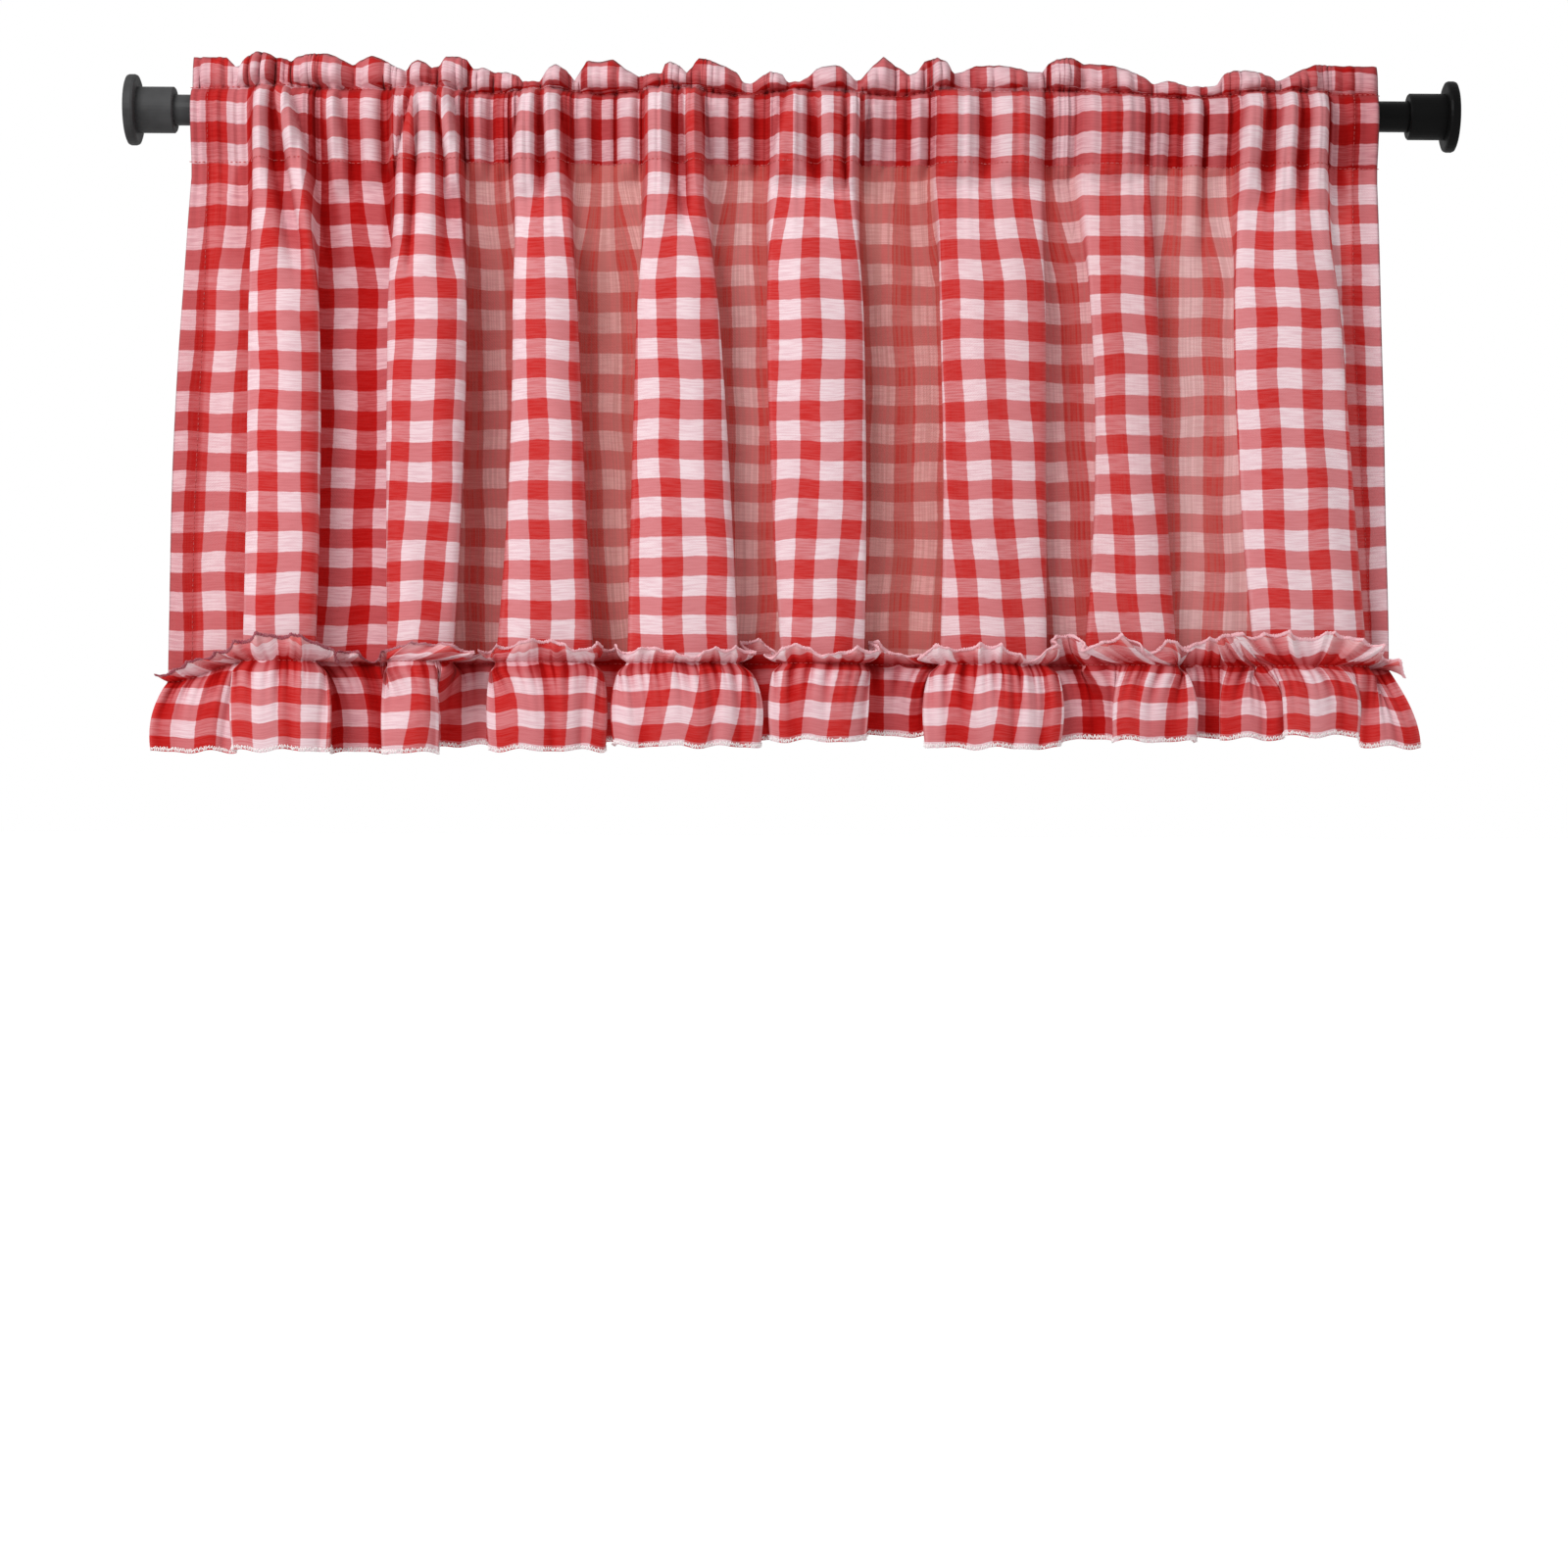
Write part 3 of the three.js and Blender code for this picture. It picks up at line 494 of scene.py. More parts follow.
# Fine unevenness of each finish: scale and detail of its noise, and strength and height of its relief.
EDGE_NOISE = (170.0, 3.0)
SLUB_NOISE = (1.0, 3.0)
LINE_NOISE = (1.0, 2.0)
SKIN_NOISE = (900.0, 4.0)
CLOUD_NOISE = (45.0, 3.0)
TWIST_NOISE = (1500.0, 2.0)
CLOTH_RELIEF = (0.3, 0.0002)
SKIN_RELIEF = (0.15, 0.0002)
THREAD_RELIEF = (0.3, 0.0003)

# Ranges that the noise is carried over: its low and high value, and what they become.
FLECK_BY_RED = (0.0, 0.5, 0.65, 0.14)
FLECK_RANGE = (0.38, 0.62, 0.0, 1.0)
SLUB_SHADE = (0.3, 0.56, 0.94, 1.0)
LINE_RANGE = (0.36, 0.62, 0.0, 1.0)
CLOTH_ROUGHNESS = (0.2, 0.8, 0.78, 0.95)
CLOUD_RANGE = (0.3, 0.7)
WORN_RANGE = (0.4, 0.7, 0.0, 0.3)

# Black finishes and thread: the two tones of the clouds, how much smoother and rougher they are than
# the finish, the caps' roughness, and the colour of worn thread.
CLOUD_TONES = ((0.8, 0.8, 0.8, 1), (1.3, 1.3, 1.3, 1))
SMOOTHER = 0.06
ROUGHER = 0.08
LEFT_CAP_ROUGHNESS = 0.5
RIGHT_CAP_ROUGHNESS = 0.45
WORN_THREAD = (0.75, 0.55, 0.55, 1)

# Threads: sides and rings of a stitch, and the seed of its stray turns; how far the seams lie off the
# cloth and the frill's edging lies in from its edge, in millimetres; how far the hem's edging lies in,
# as a share of its width; sizes of both edgings, in metres, and how untidy they are; and where along
# the rod the colours of the frill's edging and of the tube change, in metres, the tube's lighter left
# part being painted light.
THREAD_SIDES = 6
THREAD_RINGS = 5
SEED = 7
SEAM_LIFT = 0.35
RUFFLE_LIFT = -0.4
HEM_INSET = 0.42
FRILL_INSET = 0.8
OVERLOCK_SPACING = 0.0011
HEM_THREAD = 0.0009
FRILL_THREAD = 0.0011
FRILL_EDGE = 0.003
HEM_UNTIDY = 0.6
FRILL_UNTIDY = 0.3
FRILL_CHANGE = (0.14, 0.32)
TUBE_PAINTED_LIGHT_FADE = (0.2, 0.6)

# The stage, in metres.
FLOOR_HALF = 40.0
SOFTBOX_SIZE = (1.2, 0.8)
SOFTBOX_PLACE = (-0.75, -1.6, 0.95)
SOFTBOX_AIM = (0.45, 0.0, -0.2)
SENSOR = 36.0
CLIP_END = 200.0

Cloth = namedtuple("Cloth", "start end face wall width")
Grid = namedtuple("Grid", "points flat sheer deep marks")
Seam = namedtuple("Seam", "place row droop deep puffed creases stripes leans")


def ease(value):
    """Smooth step from 0 to 1."""
    v = np.clip(value, 0, 1)
    return v * v * (3 - 2 * v)


def column(rows, name):
    """One column of a table as numbers."""
    return np.array([getattr(row, name) for row in rows], float)


def waves(rows, along, down):
    """Sum of a table of soft waves at places along and down the cloth."""
    total = 0
    for w in rows:
        total = total + w.height * np.sin(2 * np.pi * (along / w.along + down / w.down) + w.start)
    return total


def through(levels, values, z):
    """Curve through three values at three heights."""
    (a, b, c), (p, q, r) = levels, values
    first = (z - b) * (z - c) / ((a - b) * (a - c))
    second = (z - a) * (z - c) / ((b - a) * (b - c))
    third = (z - a) * (z - b) / ((c - a) * (c - b))
    return first * p + second * q + third * r


def smooth_rows(rows, steps):
    """Rows of a table with smooth curves between them, as a list of plain arrays."""
    rows = np.array([tuple(row) for row in rows], float)
    padded = np.vstack([2 * rows[0] - rows[1], rows, 2 * rows[-1] - rows[-2]])
    made = []
    for k in range(len(rows) - 1):
        p0, p1, p2, p3 = padded[k : k + 4]
        for t in np.arange(steps) / steps:
            a = 2 * p1 + (p2 - p0) * t
            b = (2 * p0 - 5 * p1 + 4 * p2 - p3) * t * t
            c = (3 * p1 - p0 - 3 * p2 + p3) * t**3
            made.append(0.5 * (a + b + c))
    return [*made, rows[-1]]


def humps(rows, x):
    """Heights of a table of humps, with smooth slopes between them."""
    at, high = column(rows, "x"), column(rows, "z")
    k = np.clip(np.searchsorted(at, x) - 1, 0, len(at) - 2)
    share = ease((x - at[k]) / (at[k + 1] - at[k]))
    return high[k] + (high[k + 1] - high[k]) * share


def from_middle(x, left, right):
    """How far places lie from the middle of a span: 0 there, 1 at its sides and beyond."""
    return np.clip(np.abs(2 * (x - left) / (right - left) - 1), 0, 1)


def lay_flat(widths, walls):
    """Faces and the walls between them laid end to end along the cloth."""
    rows = []
    start = 0.0
    for i, width in enumerate(widths):
        rows.append((start, start + width, i, False))
        start += width
        if i + 1 < len(widths):
            wall = max(SHORTEST_WALL, walls[i])
            rows.append((start, start + wall, i, True))
            start += wall
    left, right, face, wall = (np.array(values) for values in zip(*rows))
    return Cloth(left, right, face, wall, start)


def spans(cloth, place):
    """Face, whether it is a wall, and the share of it, at places along the cloth."""
    inside = np.clip(place, 0, cloth.width)
    k = np.minimum(np.searchsorted(cloth.end, inside), len(cloth.end) - 1)
    share = (inside - cloth.start[k]) / (cloth.end[k] - cloth.start[k])
    return cloth.face[k], cloth.wall[k], share


def column_places(cloth, step):
    """Places along the cloth, about a step apart and one at each side of a face or wall."""
    places = []
    for start, end in zip(cloth.start, cloth.end):
        count = max(FEWEST_STEPS, math.ceil((end - start) / step))
        places.extend(start + (end - start) * np.arange(count) / count)
    return np.array([*places, cloth.width])


def over_faces(cloth, place, values):
    """A value for each face, carried over the walls between them."""
    face, wall, share = spans(cloth, place)
    after = np.minimum(face + 1, len(values) - 1)
    return np.where(wall, values[face] + (values[after] - values[face]) * ease(share), values[face])


def section(cloth, place, edges, depths, run):
    """The rounded section of the cloth: x and depth at places along it."""
    last = len(depths) - 1
    x_sum = np.zeros_like(place)
    depth_sum = np.zeros_like(place)
    for k, weight in enumerate(ROUNDING_WEIGHTS):
        here = place + (k - len(ROUNDING_WEIGHTS) // 2) * ROUNDING_STEP
        face, wall, share = spans(cloth, here)
        after = np.minimum(face + 1, last)
        left = edges[face] + np.where(face == 0, 0, run / 2)
        right = edges[face + 1] - np.where(face == last, 0, run / 2)
        beyond = here - np.clip(here, 0, cloth.width)
        x_face = left + (right - left) * share + beyond
        x_wall = edges[face + 1] + run * (share - 0.5)
        d_wall = depths[face] + (depths[after] - depths[face]) * share
        x_sum += weight * np.where(wall, x_wall, x_face)
        depth_sum += weight * np.where(wall, d_wall, depths[face])
    return x_sum, depth_sum


HEADS = column(FACES, "head")
HANGS = column(FACES, "hang")
HEMS = np.array([*column(FLOUNCE, "hem"), HEM_END])
PANEL = lay_flat(np.diff([*column(FACES, "mid"), RIGHT_EDGE[1]]), np.abs(np.diff(HANGS)))
RUFFLE = lay_flat(np.diff(HEMS), np.abs(np.diff(column(FLOUNCE, "depth"))))


def edges_at(z):
    """Left edge of each face, and the last one's right edge, at one height."""
    rows = [(f.top, f.mid, f.foot) for f in FACES]
    return np.array([through(LEVELS, row, min(z, TOP_LEVEL)) for row in [*rows, RIGHT_EDGE]])


def settled(z):
    """How far the cloth has settled from the gathered pocket into its hanging folds, from 0 to 1."""
    return ease((POCKET_STITCH - z) / (POCKET_STITCH - SETTLED_LEVEL))


def gathers(x, z):
    """How far the small gathers stand out at one height, and how far they could next to it."""
    up = np.clip((z - POCKET_STITCH) / (HEADING_STITCH - POCKET_STITCH), 0, 1)
    out = np.zeros_like(x)
    near = np.zeros_like(x)
    for g in GATHERS:
        down = np.clip((POCKET_STITCH - z) / (POCKET_STITCH - g.end_z), 0, 1)
        left = g.low_left + (g.top_left - g.low_left) * up + (g.end_left - g.low_left) * down
        right = g.low_right + (g.top_right - g.low_right) * up + (g.end_right - g.low_right) * down
        high = g.out * (1 - down**GATHER_FADE)
        shape = (1 - from_middle(x, left, right) ** GATHER_SQUARENESS) ** GATHER_FULLNESS
        out = np.maximum(out, high * shape)
        sides = np.clip(GATHER_SIDES - np.abs(x - (left + right) / 2) / (right - left), 0, 1)
        near = np.maximum(near, high * ease(2 * sides))
    return out, near


def lobes(x):
    """How far the puffs of the heading stand out."""
    out = np.full_like(x, -LOBE_DIP)
    for lobe in LOBES:
        shape = 1 - from_middle(x, lobe.left, lobe.right) ** LOBE_SQUARENESS
        out = np.maximum(out, (lobe.out + LOBE_DIP) * shape - LOBE_DIP)
    return out


def crowns(cloth, faces, place):
    """The roundness of each face."""
    face, wall, share = spans(cloth, place)
    arch = np.where(wall, 0, 1 - np.abs(2 * share - 1) ** CROWN_POWER)
    return column(faces, "round")[face] * arch


def body_section(place, z):
    """x and depth of the hung cloth at one height below the pocket stitch."""
    hung = settled(z)
    depths = HEADS + (HANGS - HEADS) * hung
    run = HEAD_WALL_RUN + (HANG_WALL_RUN - HEAD_WALL_RUN) * hung
    x, depth = section(PANEL, place, edges_at(z), depths, run)
    depth = depth + gathers(x, z)[0] + hung * crowns(PANEL, FACES, place)
    gathered = np.exp((z - POCKET_STITCH) / GATHER_REACH)
    return x, depth + hung * waves(PANEL_WAVES, place, z) + gathered * waves(GATHER_WAVES, place, z)


def beside(points, offset):
    """A row of points moved off the cloth, towards the room where offset is positive."""
    along = np.empty_like(points)
    along[1:-1] = points[2:] - points[:-2]
    along[0] = points[1] - points[0]
    along[-1] = points[-1] - points[-2]
    normal = np.stack([along[:, 1], -along[:, 0], np.zeros(len(points))], 1)
    length = np.linalg.norm(normal, axis=1, keepdims=True)
    return points + offset * normal / np.maximum(length, NEARLY_ZERO)


def heading_top(x):
    """Height of the heading's top."""
    return np.interp(x, column(HEADING, "x"), column(HEADING, "z"))


def pocket_flats(x):
    """Flat places along the gathered pocket."""
    return np.interp(x, column(POCKET_COLUMNS, "x"), column(POCKET_COLUMNS, "flat"))


def heading_flats(x):
    """Flat places along the heading, whose columns lie as its puffs show them."""
    widths = [COLUMN_WIDTHS[k % 2] for k in range(len(HEADING_COLUMNS))]
    flats = COLUMN_PERIOD + np.concatenate([[0], np.cumsum(widths)])
    at = [HEADING_START.x, *HEADING_COLUMNS, RIGHT_EDGE[0]]
    return np.interp(x, at, [HEADING_START.flat, *flats])


def pinches(flats, x):
    """Where so much cloth is drawn into so little room that it folds into a sharp dip, from 0 to 1."""
    drawn_in = np.abs(flats(x + PINCH_REACH) - flats(x - PINCH_REACH)) / (2 * PINCH_REACH)
    return ease((drawn_in - PINCH_FROM) / PINCH_RUN)


def pocket_row(place, row, heading=None):
    """One row of the strip round the rod, or at a share of the height of the heading above it."""
    z, ring, share, side = row
    depths = ring + share * (HEADS - POCKET_DEPTH)
    x, depth = section(PANEL, place, edges_at(TOP_LEVEL), depths, HEAD_WALL_RUN)
    drawn = 1 + DRAWN_MORE * np.exp(-abs(z - HEADING_STITCH) / DRAWN_REACH)
    depth = depth + share * (gathers(x, z)[0] + drawn * waves(GATHER_WAVES, place, POCKET_STITCH))
    height = np.full_like(place, z)
    if heading is not None:
        depth = depth - PINCH_DEPTH * pinches(heading_flats, x) * heading
        depth = depth + (np.sin(np.pi * heading**LOBE_RISE) + LOBE_TOP * heading) * lobes(x)
        crumpled = CRUMPLED + CRUMPLED_MIDDLE * np.sin(np.pi * heading)
        depth = depth + crumpled * waves(GATHER_WAVES, place, 0)
        height = HEADING_STITCH + (heading_top(x) - HEADING_STITCH) * heading
    elif ring >= 0:
        depth = depth - PINCH_DEPTH * pinches(pocket_flats, x) * share
    if ring >= 0:
        height = height + humps(GROOVE, x) * np.exp(-(((height - HEADING_STITCH) / GROOVE_REACH) ** 2))
    return beside(np.stack([x, -depth, height], 1), side)


def flat_places(place, points, z):
    """Flat places along one row, so that the stripes keep their width and lie as they hang."""
    face, wall, share = spans(PANEL, place)
    steps = np.linalg.norm(np.diff(points[:, :2], axis=0), axis=1)
    run = np.concatenate([[0], np.cumsum(steps)])
    flat = np.full_like(place, np.nan)
    height = max(min(z, TOP_LEVEL), LOWEST_FLAT)
    for i, f in enumerate(FACES):
        here = (face == i) & ~wall
        if i == 0:
            flat[here] = LEFT_FLAT + run[here]
        elif i == len(FACES) - 1:
            flat[here] = RIGHT_FLAT - (run[-1] - run[here])
        else:
            middle = np.interp(0.5, share[here], run[here])
            flats = (f.flat_top, f.flat_mid, f.flat_foot)
            flat[here] = through(LEVELS, flats, height) + run[here] - middle
    known = ~np.isnan(flat)
    hung = np.interp(run, run[known], flat[known]) + waves(COLUMN_WAVES, place, z)
    share = ease((z - KNOTS_END) / (POCKET_STITCH - KNOTS_END))
    return hung + (pocket_flats(points[:, 0]) - hung) * share


def row_places(place, z):
    """Flat places down the cloth at one height of the body, counted from the first red row."""
    counts = [through((f.row_top, f.row_mid, f.row_foot), RED_ROWS_APART, z) for f in FACES]
    return over_faces(PANEL, place, np.array(counts)) * ROW_PERIOD + waves(ROW_WAVES, place, z)


def painted_rim_highlights(cloth, faces, place):
    """Painted highlights: paler rims at both sides of the round faces."""
    face, wall, share = spans(cloth, place)
    width = (cloth.end - cloth.start)[~cloth.wall][face]
    edge = np.minimum(share, 1 - share) * width
    rim = RIM_PAINTED_HIGHLIGHT * np.exp(-((edge / RIM_WIDTH) ** 2))
    return np.where(wall | (column(faces, "round")[face] <= ROUND_FROM), 0, rim)


def body_heights():
    """Heights of the panel's rows below the pocket stitch, closer together near the gathers."""
    share = np.linspace(0, 1, BODY_ROWS + 1)[:-1]
    crowded = (1 + ROW_CROWDING) * share - ROW_CROWDING * share**2
    return [*(PANEL_FOOT + (POCKET_STITCH - PANEL_FOOT) * crowded), POCKET_STITCH - UNDER_STITCH]


def hung_rows(place):
    """Rows of the panel below the pocket stitch: points, flat places, sheerness and painted shade."""
    sheer = over_faces(PANEL, place, column(FACES, "sheer"))
    shade = over_faces(PANEL, place, column(FACES, "deep"))
    _, wall, share = spans(PANEL, place)
    # Painted shade in the walls between faces and painted highlights on the rims of round faces.
    painted_edges = np.where(wall, WALL_PAINTED_SHADE * np.sin(np.pi * share), painted_rim_highlights(PANEL, FACES, place))
    rows = []
    for z in body_heights():
        x, depth = body_section(place, z)
        low = (POCKET_STITCH - z) / (POCKET_STITCH - PANEL_FOOT)
        drop = LEFT_DROOP * low**DROOP_POWER * ease(1 - place / LEFT_SEWN_LENGTH)
        points = np.stack([x, -depth, z - drop], 1)
        flat = np.stack([flat_places(place, points, z), row_places(place, z) + drop], 1)
        out, near = gathers(x, z)
        # Painted shade between the gathers that run on below the pocket.
        between = GATHER_SHADE * (1 - sheer) * ease((near - out) / DEEPEST_GATHER)
        rows.append((points, flat, sheer, shade + between + settled(z) * painted_edges))
    return rows


def heading_rows(place):
    """Rows of the heading, up its front and down its back."""
    shares = [k / HEADING_STEPS for k in range(1, HEADING_STEPS + 1)]
    rows = []
    for gap, steps in ((LAYER_GAP, shares), (-LAYER_GAP, shares[-2::-1])):
        for share in steps:
            kept = KEPT_BELOW - KEPT_LOST * share
            row = PocketRow(HEADING_STITCH, 0, kept, gap * (1 - share**TURN_POWER))
            rows.append(pocket_row(place, row, share))
    return rows


def strip_shade(points, high, in_front):
    """How deep the colour is on a row of the pocket's front, or of the heading and the back: painted
    shade where the gathers, lobes and pinches leave hollows and at the heading's foot, over a deeper
    colour all over the doubled heading.
    """
    x = points[:, 0]
    if in_front:
        lit = gathers(x, points[0, 2])[0] / (LIT_GATHER * DEEPEST_GATHER)
        return ease(1 - lit) + PINCH_SHADE * pinches(pocket_flats, x)
    between = LOBE_SHADE * ease(LOBE_FROM - lobes(x) / LOBE_LIT)
    foot = FOOT_SHADE * ease(1 - FOOT_FADE * high)
    return HEADING_SHADE + between + foot + PINCH_SHADE * pinches(heading_flats, x)


def strip_rows(place):
    """Rows from the pocket stitch over the rod and the heading, and how many come before the heading."""
    front = [pocket_row(place, row) for row in smooth_rows(POCKET_FRONT, POCKET_STEPS)]
    turn = heading_rows(place)
    back = [pocket_row(place, row) for row in smooth_rows(POCKET_BACK, BACK_STEPS)]
    level = flat_places(place, front[0], POCKET_STITCH)
    # Less painted shade on the left side's pocket.
    lit = over_faces(PANEL, place, np.array([LEFT_SIDE_SHARE, *[1.0] * (len(FACES) - 1)]))
    down = row_places(place, POCKET_STITCH)
    before = front[0]
    rows = []
    for k, points in enumerate([*front, *turn, *back]):
        step = np.linalg.norm(points - before, axis=1)
        before = points
        x = points[:, 0]
        above = points[:, 2] - HEADING_STITCH - humps(GROOVE, x)
        whole = heading_top(x) - HEADING_STITCH
        along = level
        turned = k - len(front)
        if turned < 0:
            down = down - step
        elif turned < len(turn):
            along = heading_flats(x)
            over = whole + (2 * HEADING_HEIGHT - whole) * (1 - above / whole)
            up = above + waves(TILT_WAVES, x, 0)
            down = HEADING_ROW - (over if turned >= HEADING_STEPS else up)
        elif turned == len(turn):
            down = np.full_like(place, HEADING_ROW - 2 * HEADING_HEIGHT)
        else:
            down = down - step.mean()
        # Painted shade on the strip, and a painted shadow in the groove at the heading stitch.
        dark = STRIP_SHADE * strip_shade(points, above / whole, turned < 0) * lit
        deep = np.maximum(dark, GROOVE_SHADE * np.exp(-((above / GROOVE_WIDTH) ** 2)))
        rows.append((points, np.stack([along, down], 1), np.zeros_like(place), deep))
    return rows, len(front)


@lru_cache(maxsize=1)
def panel_grid():
    """The whole panel, one strip from its foot up the front, over the heading and down behind."""
    place = column_places(PANEL, COLUMN_STEP)
    body = hung_rows(place)
    strip, front = strip_rows(place)
    marks = {"pocket": len(body), "heading": len(body) + front - 1}
    points, flat, sheer, deep = (np.array(values) for values in zip(*body, *strip))
    return with_side_hems(Grid(points, flat, sheer, deep, marks), place)


def grid_normals(points):
    """Directions straight off a grid of points."""
    along = np.gradient(points, axis=1)
    up = np.gradient(points, axis=0)
    normal = np.cross(along, up)
    length = np.linalg.norm(normal, axis=2, keepdims=True)
    return normal / np.maximum(length, NEARLY_ZERO)


def with_side_hems(grid, place):
    """The sheet with its two side edges turned in behind it."""
    behind = grid.points - HEM_GAP * grid_normals(grid.points)
    far = PANEL.width - place
    left = np.nonzero((place > EDGE_CLEAR) & (place < SIDE_HEM))[0][::-1]
    right = np.nonzero((far > EDGE_CLEAR) & (far < SIDE_HEM))[0][::-1]
    doubled = (place < SIDE_HEM) | (far < SIDE_HEM)
    whole = np.concatenate([left, np.arange(len(place)), right])
    flat = grid.flat[:, whole]
    for turned, edge in ((slice(len(left)), 0), (slice(-len(right), None), -1)):
        flat[:, turned, 0] = 2 * grid.flat[:, [edge], 0] - flat[:, turned, 0]
    marks = {
        **grid.marks,
        "left": len(left),
        "right": len(left) + len(place) - 1,
        "left hem": len(left) + int(np.nonzero(doubled)[0][len(left) - 1]),
        "right hem": len(left) + int(right[-1]),
    }
    return Grid(
        np.concatenate([behind[:, left], grid.points, behind[:, right]], axis=1),
        flat,
        grid.sheer[:, whole],
        (grid.deep + DOUBLED_HEM * doubled)[:, whole],
        marks,
    )


def place_on(on):
    """The place on the panel that an "on" number names."""
    face = int(on)
    if on == 0:
        return 0.0
    whole = on == face
    wanted = (PANEL.face == (face - 1 if whole else face)) & (PANEL.wall == whole)
    k = int(np.nonzero(wanted)[0][0])
    share = 0.5 if whole else on - face
    return PANEL.start[k] + (PANEL.end[k] - PANEL.start[k]) * share


def seam_places(place):
    """Where places along the ruffle are sewn to the panel."""
    ons = np.array([place_on(p.on) for p in FLOUNCE] + [PANEL.width])
    face, wall, share = spans(RUFFLE, place)
    left, right = ons[face], ons[face + 1]
    start = np.where(face == 0, left, left + SEAM_WALL)
    end = np.where(face + 1 == len(FLOUNCE), right, right - SEAM_WALL)
    return np.where(wall, right + SEAM_WALL * (2 * share - 1), start + (end - start) * share)


def between_faces(place, left, right, carry):
    """Values from one side of each face to the other, carried on to the next face by its wall."""
    face, wall, share = spans(RUFFLE, place)
    after = np.minimum(face + 1, len(FLOUNCE) - 1)
    over_wall = right[face] + (left[after] - right[face]) * carry(share)
    return np.where(wall, over_wall, left[face] + (right[face] - left[face]) * share)


def stripe_places(place):
    """Flat places along the ruffle, each face's stripes starting where they do at its hem."""
    starts, ends = [], []
    for p, width in zip(FLOUNCE, np.diff(HEMS)):
        least = ends[-1] + LEAST_HIDDEN if ends else 0
        starts.append(p.stripe + COLUMN_PERIOD * math.ceil((least - p.stripe) / COLUMN_PERIOD))
        ends.append(starts[-1] + width)
    return between_faces(place, np.array(starts), np.array(ends), np.array)


def front_depths(x, z):
    """Depth of the panel's front at places along the rod."""
    at, depth = body_section(column_places(PANEL, COLUMN_STEP / 2), z)
    whole = np.clip(np.round(at), 0, FURTHEST_X).astype(int)
    front = np.full(FURTHEST_X + 1, HANGS.min())
    for step in (-1, 0, 1):
        np.maximum.at(front, np.clip(whole + step, 0, FURTHEST_X), depth)
    return np.interp(x, np.arange(FURTHEST_X + 1), front)


def frill_heights(place):
    """Height of the frill's free edge."""
    face, wall, share = spans(RUFFLE, place)
    on = face + np.where(wall, FACE_SHARE + (1 - FACE_SHARE) * ease(share), FACE_SHARE * share)
    return np.interp(on, column(FRILL, "on"), column(FRILL, "z"))


def softened(values, count):
    """Values along the cloth averaged with their neighbours, a number of times over."""
    for _ in range(count):
        padded = np.concatenate([values[:1], values, values[-1:]])
        values = (padded[:-2] + 2 * padded[1:-1] + padded[2:]) / 4
    return values


def pucker_lift(place, g):
    """How far one row of a pucker table has lifted the cloth, from 0 in its crease to 1."""
    wandering = place + g.wander * np.sin(2 * np.pi * place / PUCKER_WANDER + g.start)
    return np.abs(np.sin(np.pi * wandering / g.width + g.start))


def puckers(place, t):
    """The gathers of the ruffle at a share of the way from its seam to its hem."""
    total = 0
    for g in PUCKERS:
        lift = pucker_lift(place, g) ** PUCKER_ROUND - PUCKER_MEAN
        total = total + (g.hem + (g.seam - g.hem) * (1 - t) ** PUCKER_FADE) * lift
    return total


def creases(place):
    """Where the sharp folds between the narrow gathers at the ruffle's seam lie, as a mask for their
    painted shade.
    """
    narrow = PUCKERS[::2]
    return np.clip(sum((1 - pucker_lift(place, g)) ** CREASE_POWER for g in narrow), 0, 1)


def ripples(place):
    """How far the frill's edge stands out and how far it sways along the rod."""
    out, sway = 0, 0
    for r in RIPPLES:
        wandering = place + r.wander * np.sin(2 * np.pi * place / RIPPLE_WANDER + r.start)
        turn = 2 * np.pi * wandering / r.length + r.start
        out = out + r.out * np.sin(turn)
        sway = sway + FRILL_SWAY * r.out * np.cos(turn)
    return out, sway


def ruffle_seam():
    """What the ruffle's rows share: their places, the row that is sewn, and the painted shade of each
    face, with the deeper colour of cloth doubled over the panel.
    """
    place = column_places(RUFFLE, COLUMN_STEP * RUFFLE_FINENESS)
    x, depth = body_section(np.clip(seam_places(place), 0, PANEL.width), RUFFLE_SEAM)
    left_end = ease(1 - place / LEFT_END_LENGTH)
    right_end = ease(1 - (RUFFLE.width - place) / RIGHT_END_LENGTH)
    face, wall, share = spans(RUFFLE, place)
    inner = np.clip(LEAN_STEEPNESS * np.minimum(share, 1 - share), 0, 1)
    return Seam(
        place,
        np.stack([x, -depth, np.full_like(place, RUFFLE_SEAM)], 1),
        LEFT_DROOP * left_end + RIGHT_DROOP * right_end,
        over_faces(RUFFLE, place, column(FLOUNCE, "deep")),
        over_faces(RUFFLE, place, (column(FLOUNCE, "round") > ROUND_FROM).astype(float)),
        creases(place),
        stripe_places(place),
        np.where(wall, 0, column(FLOUNCE, "lean")[face] * inner),
    )


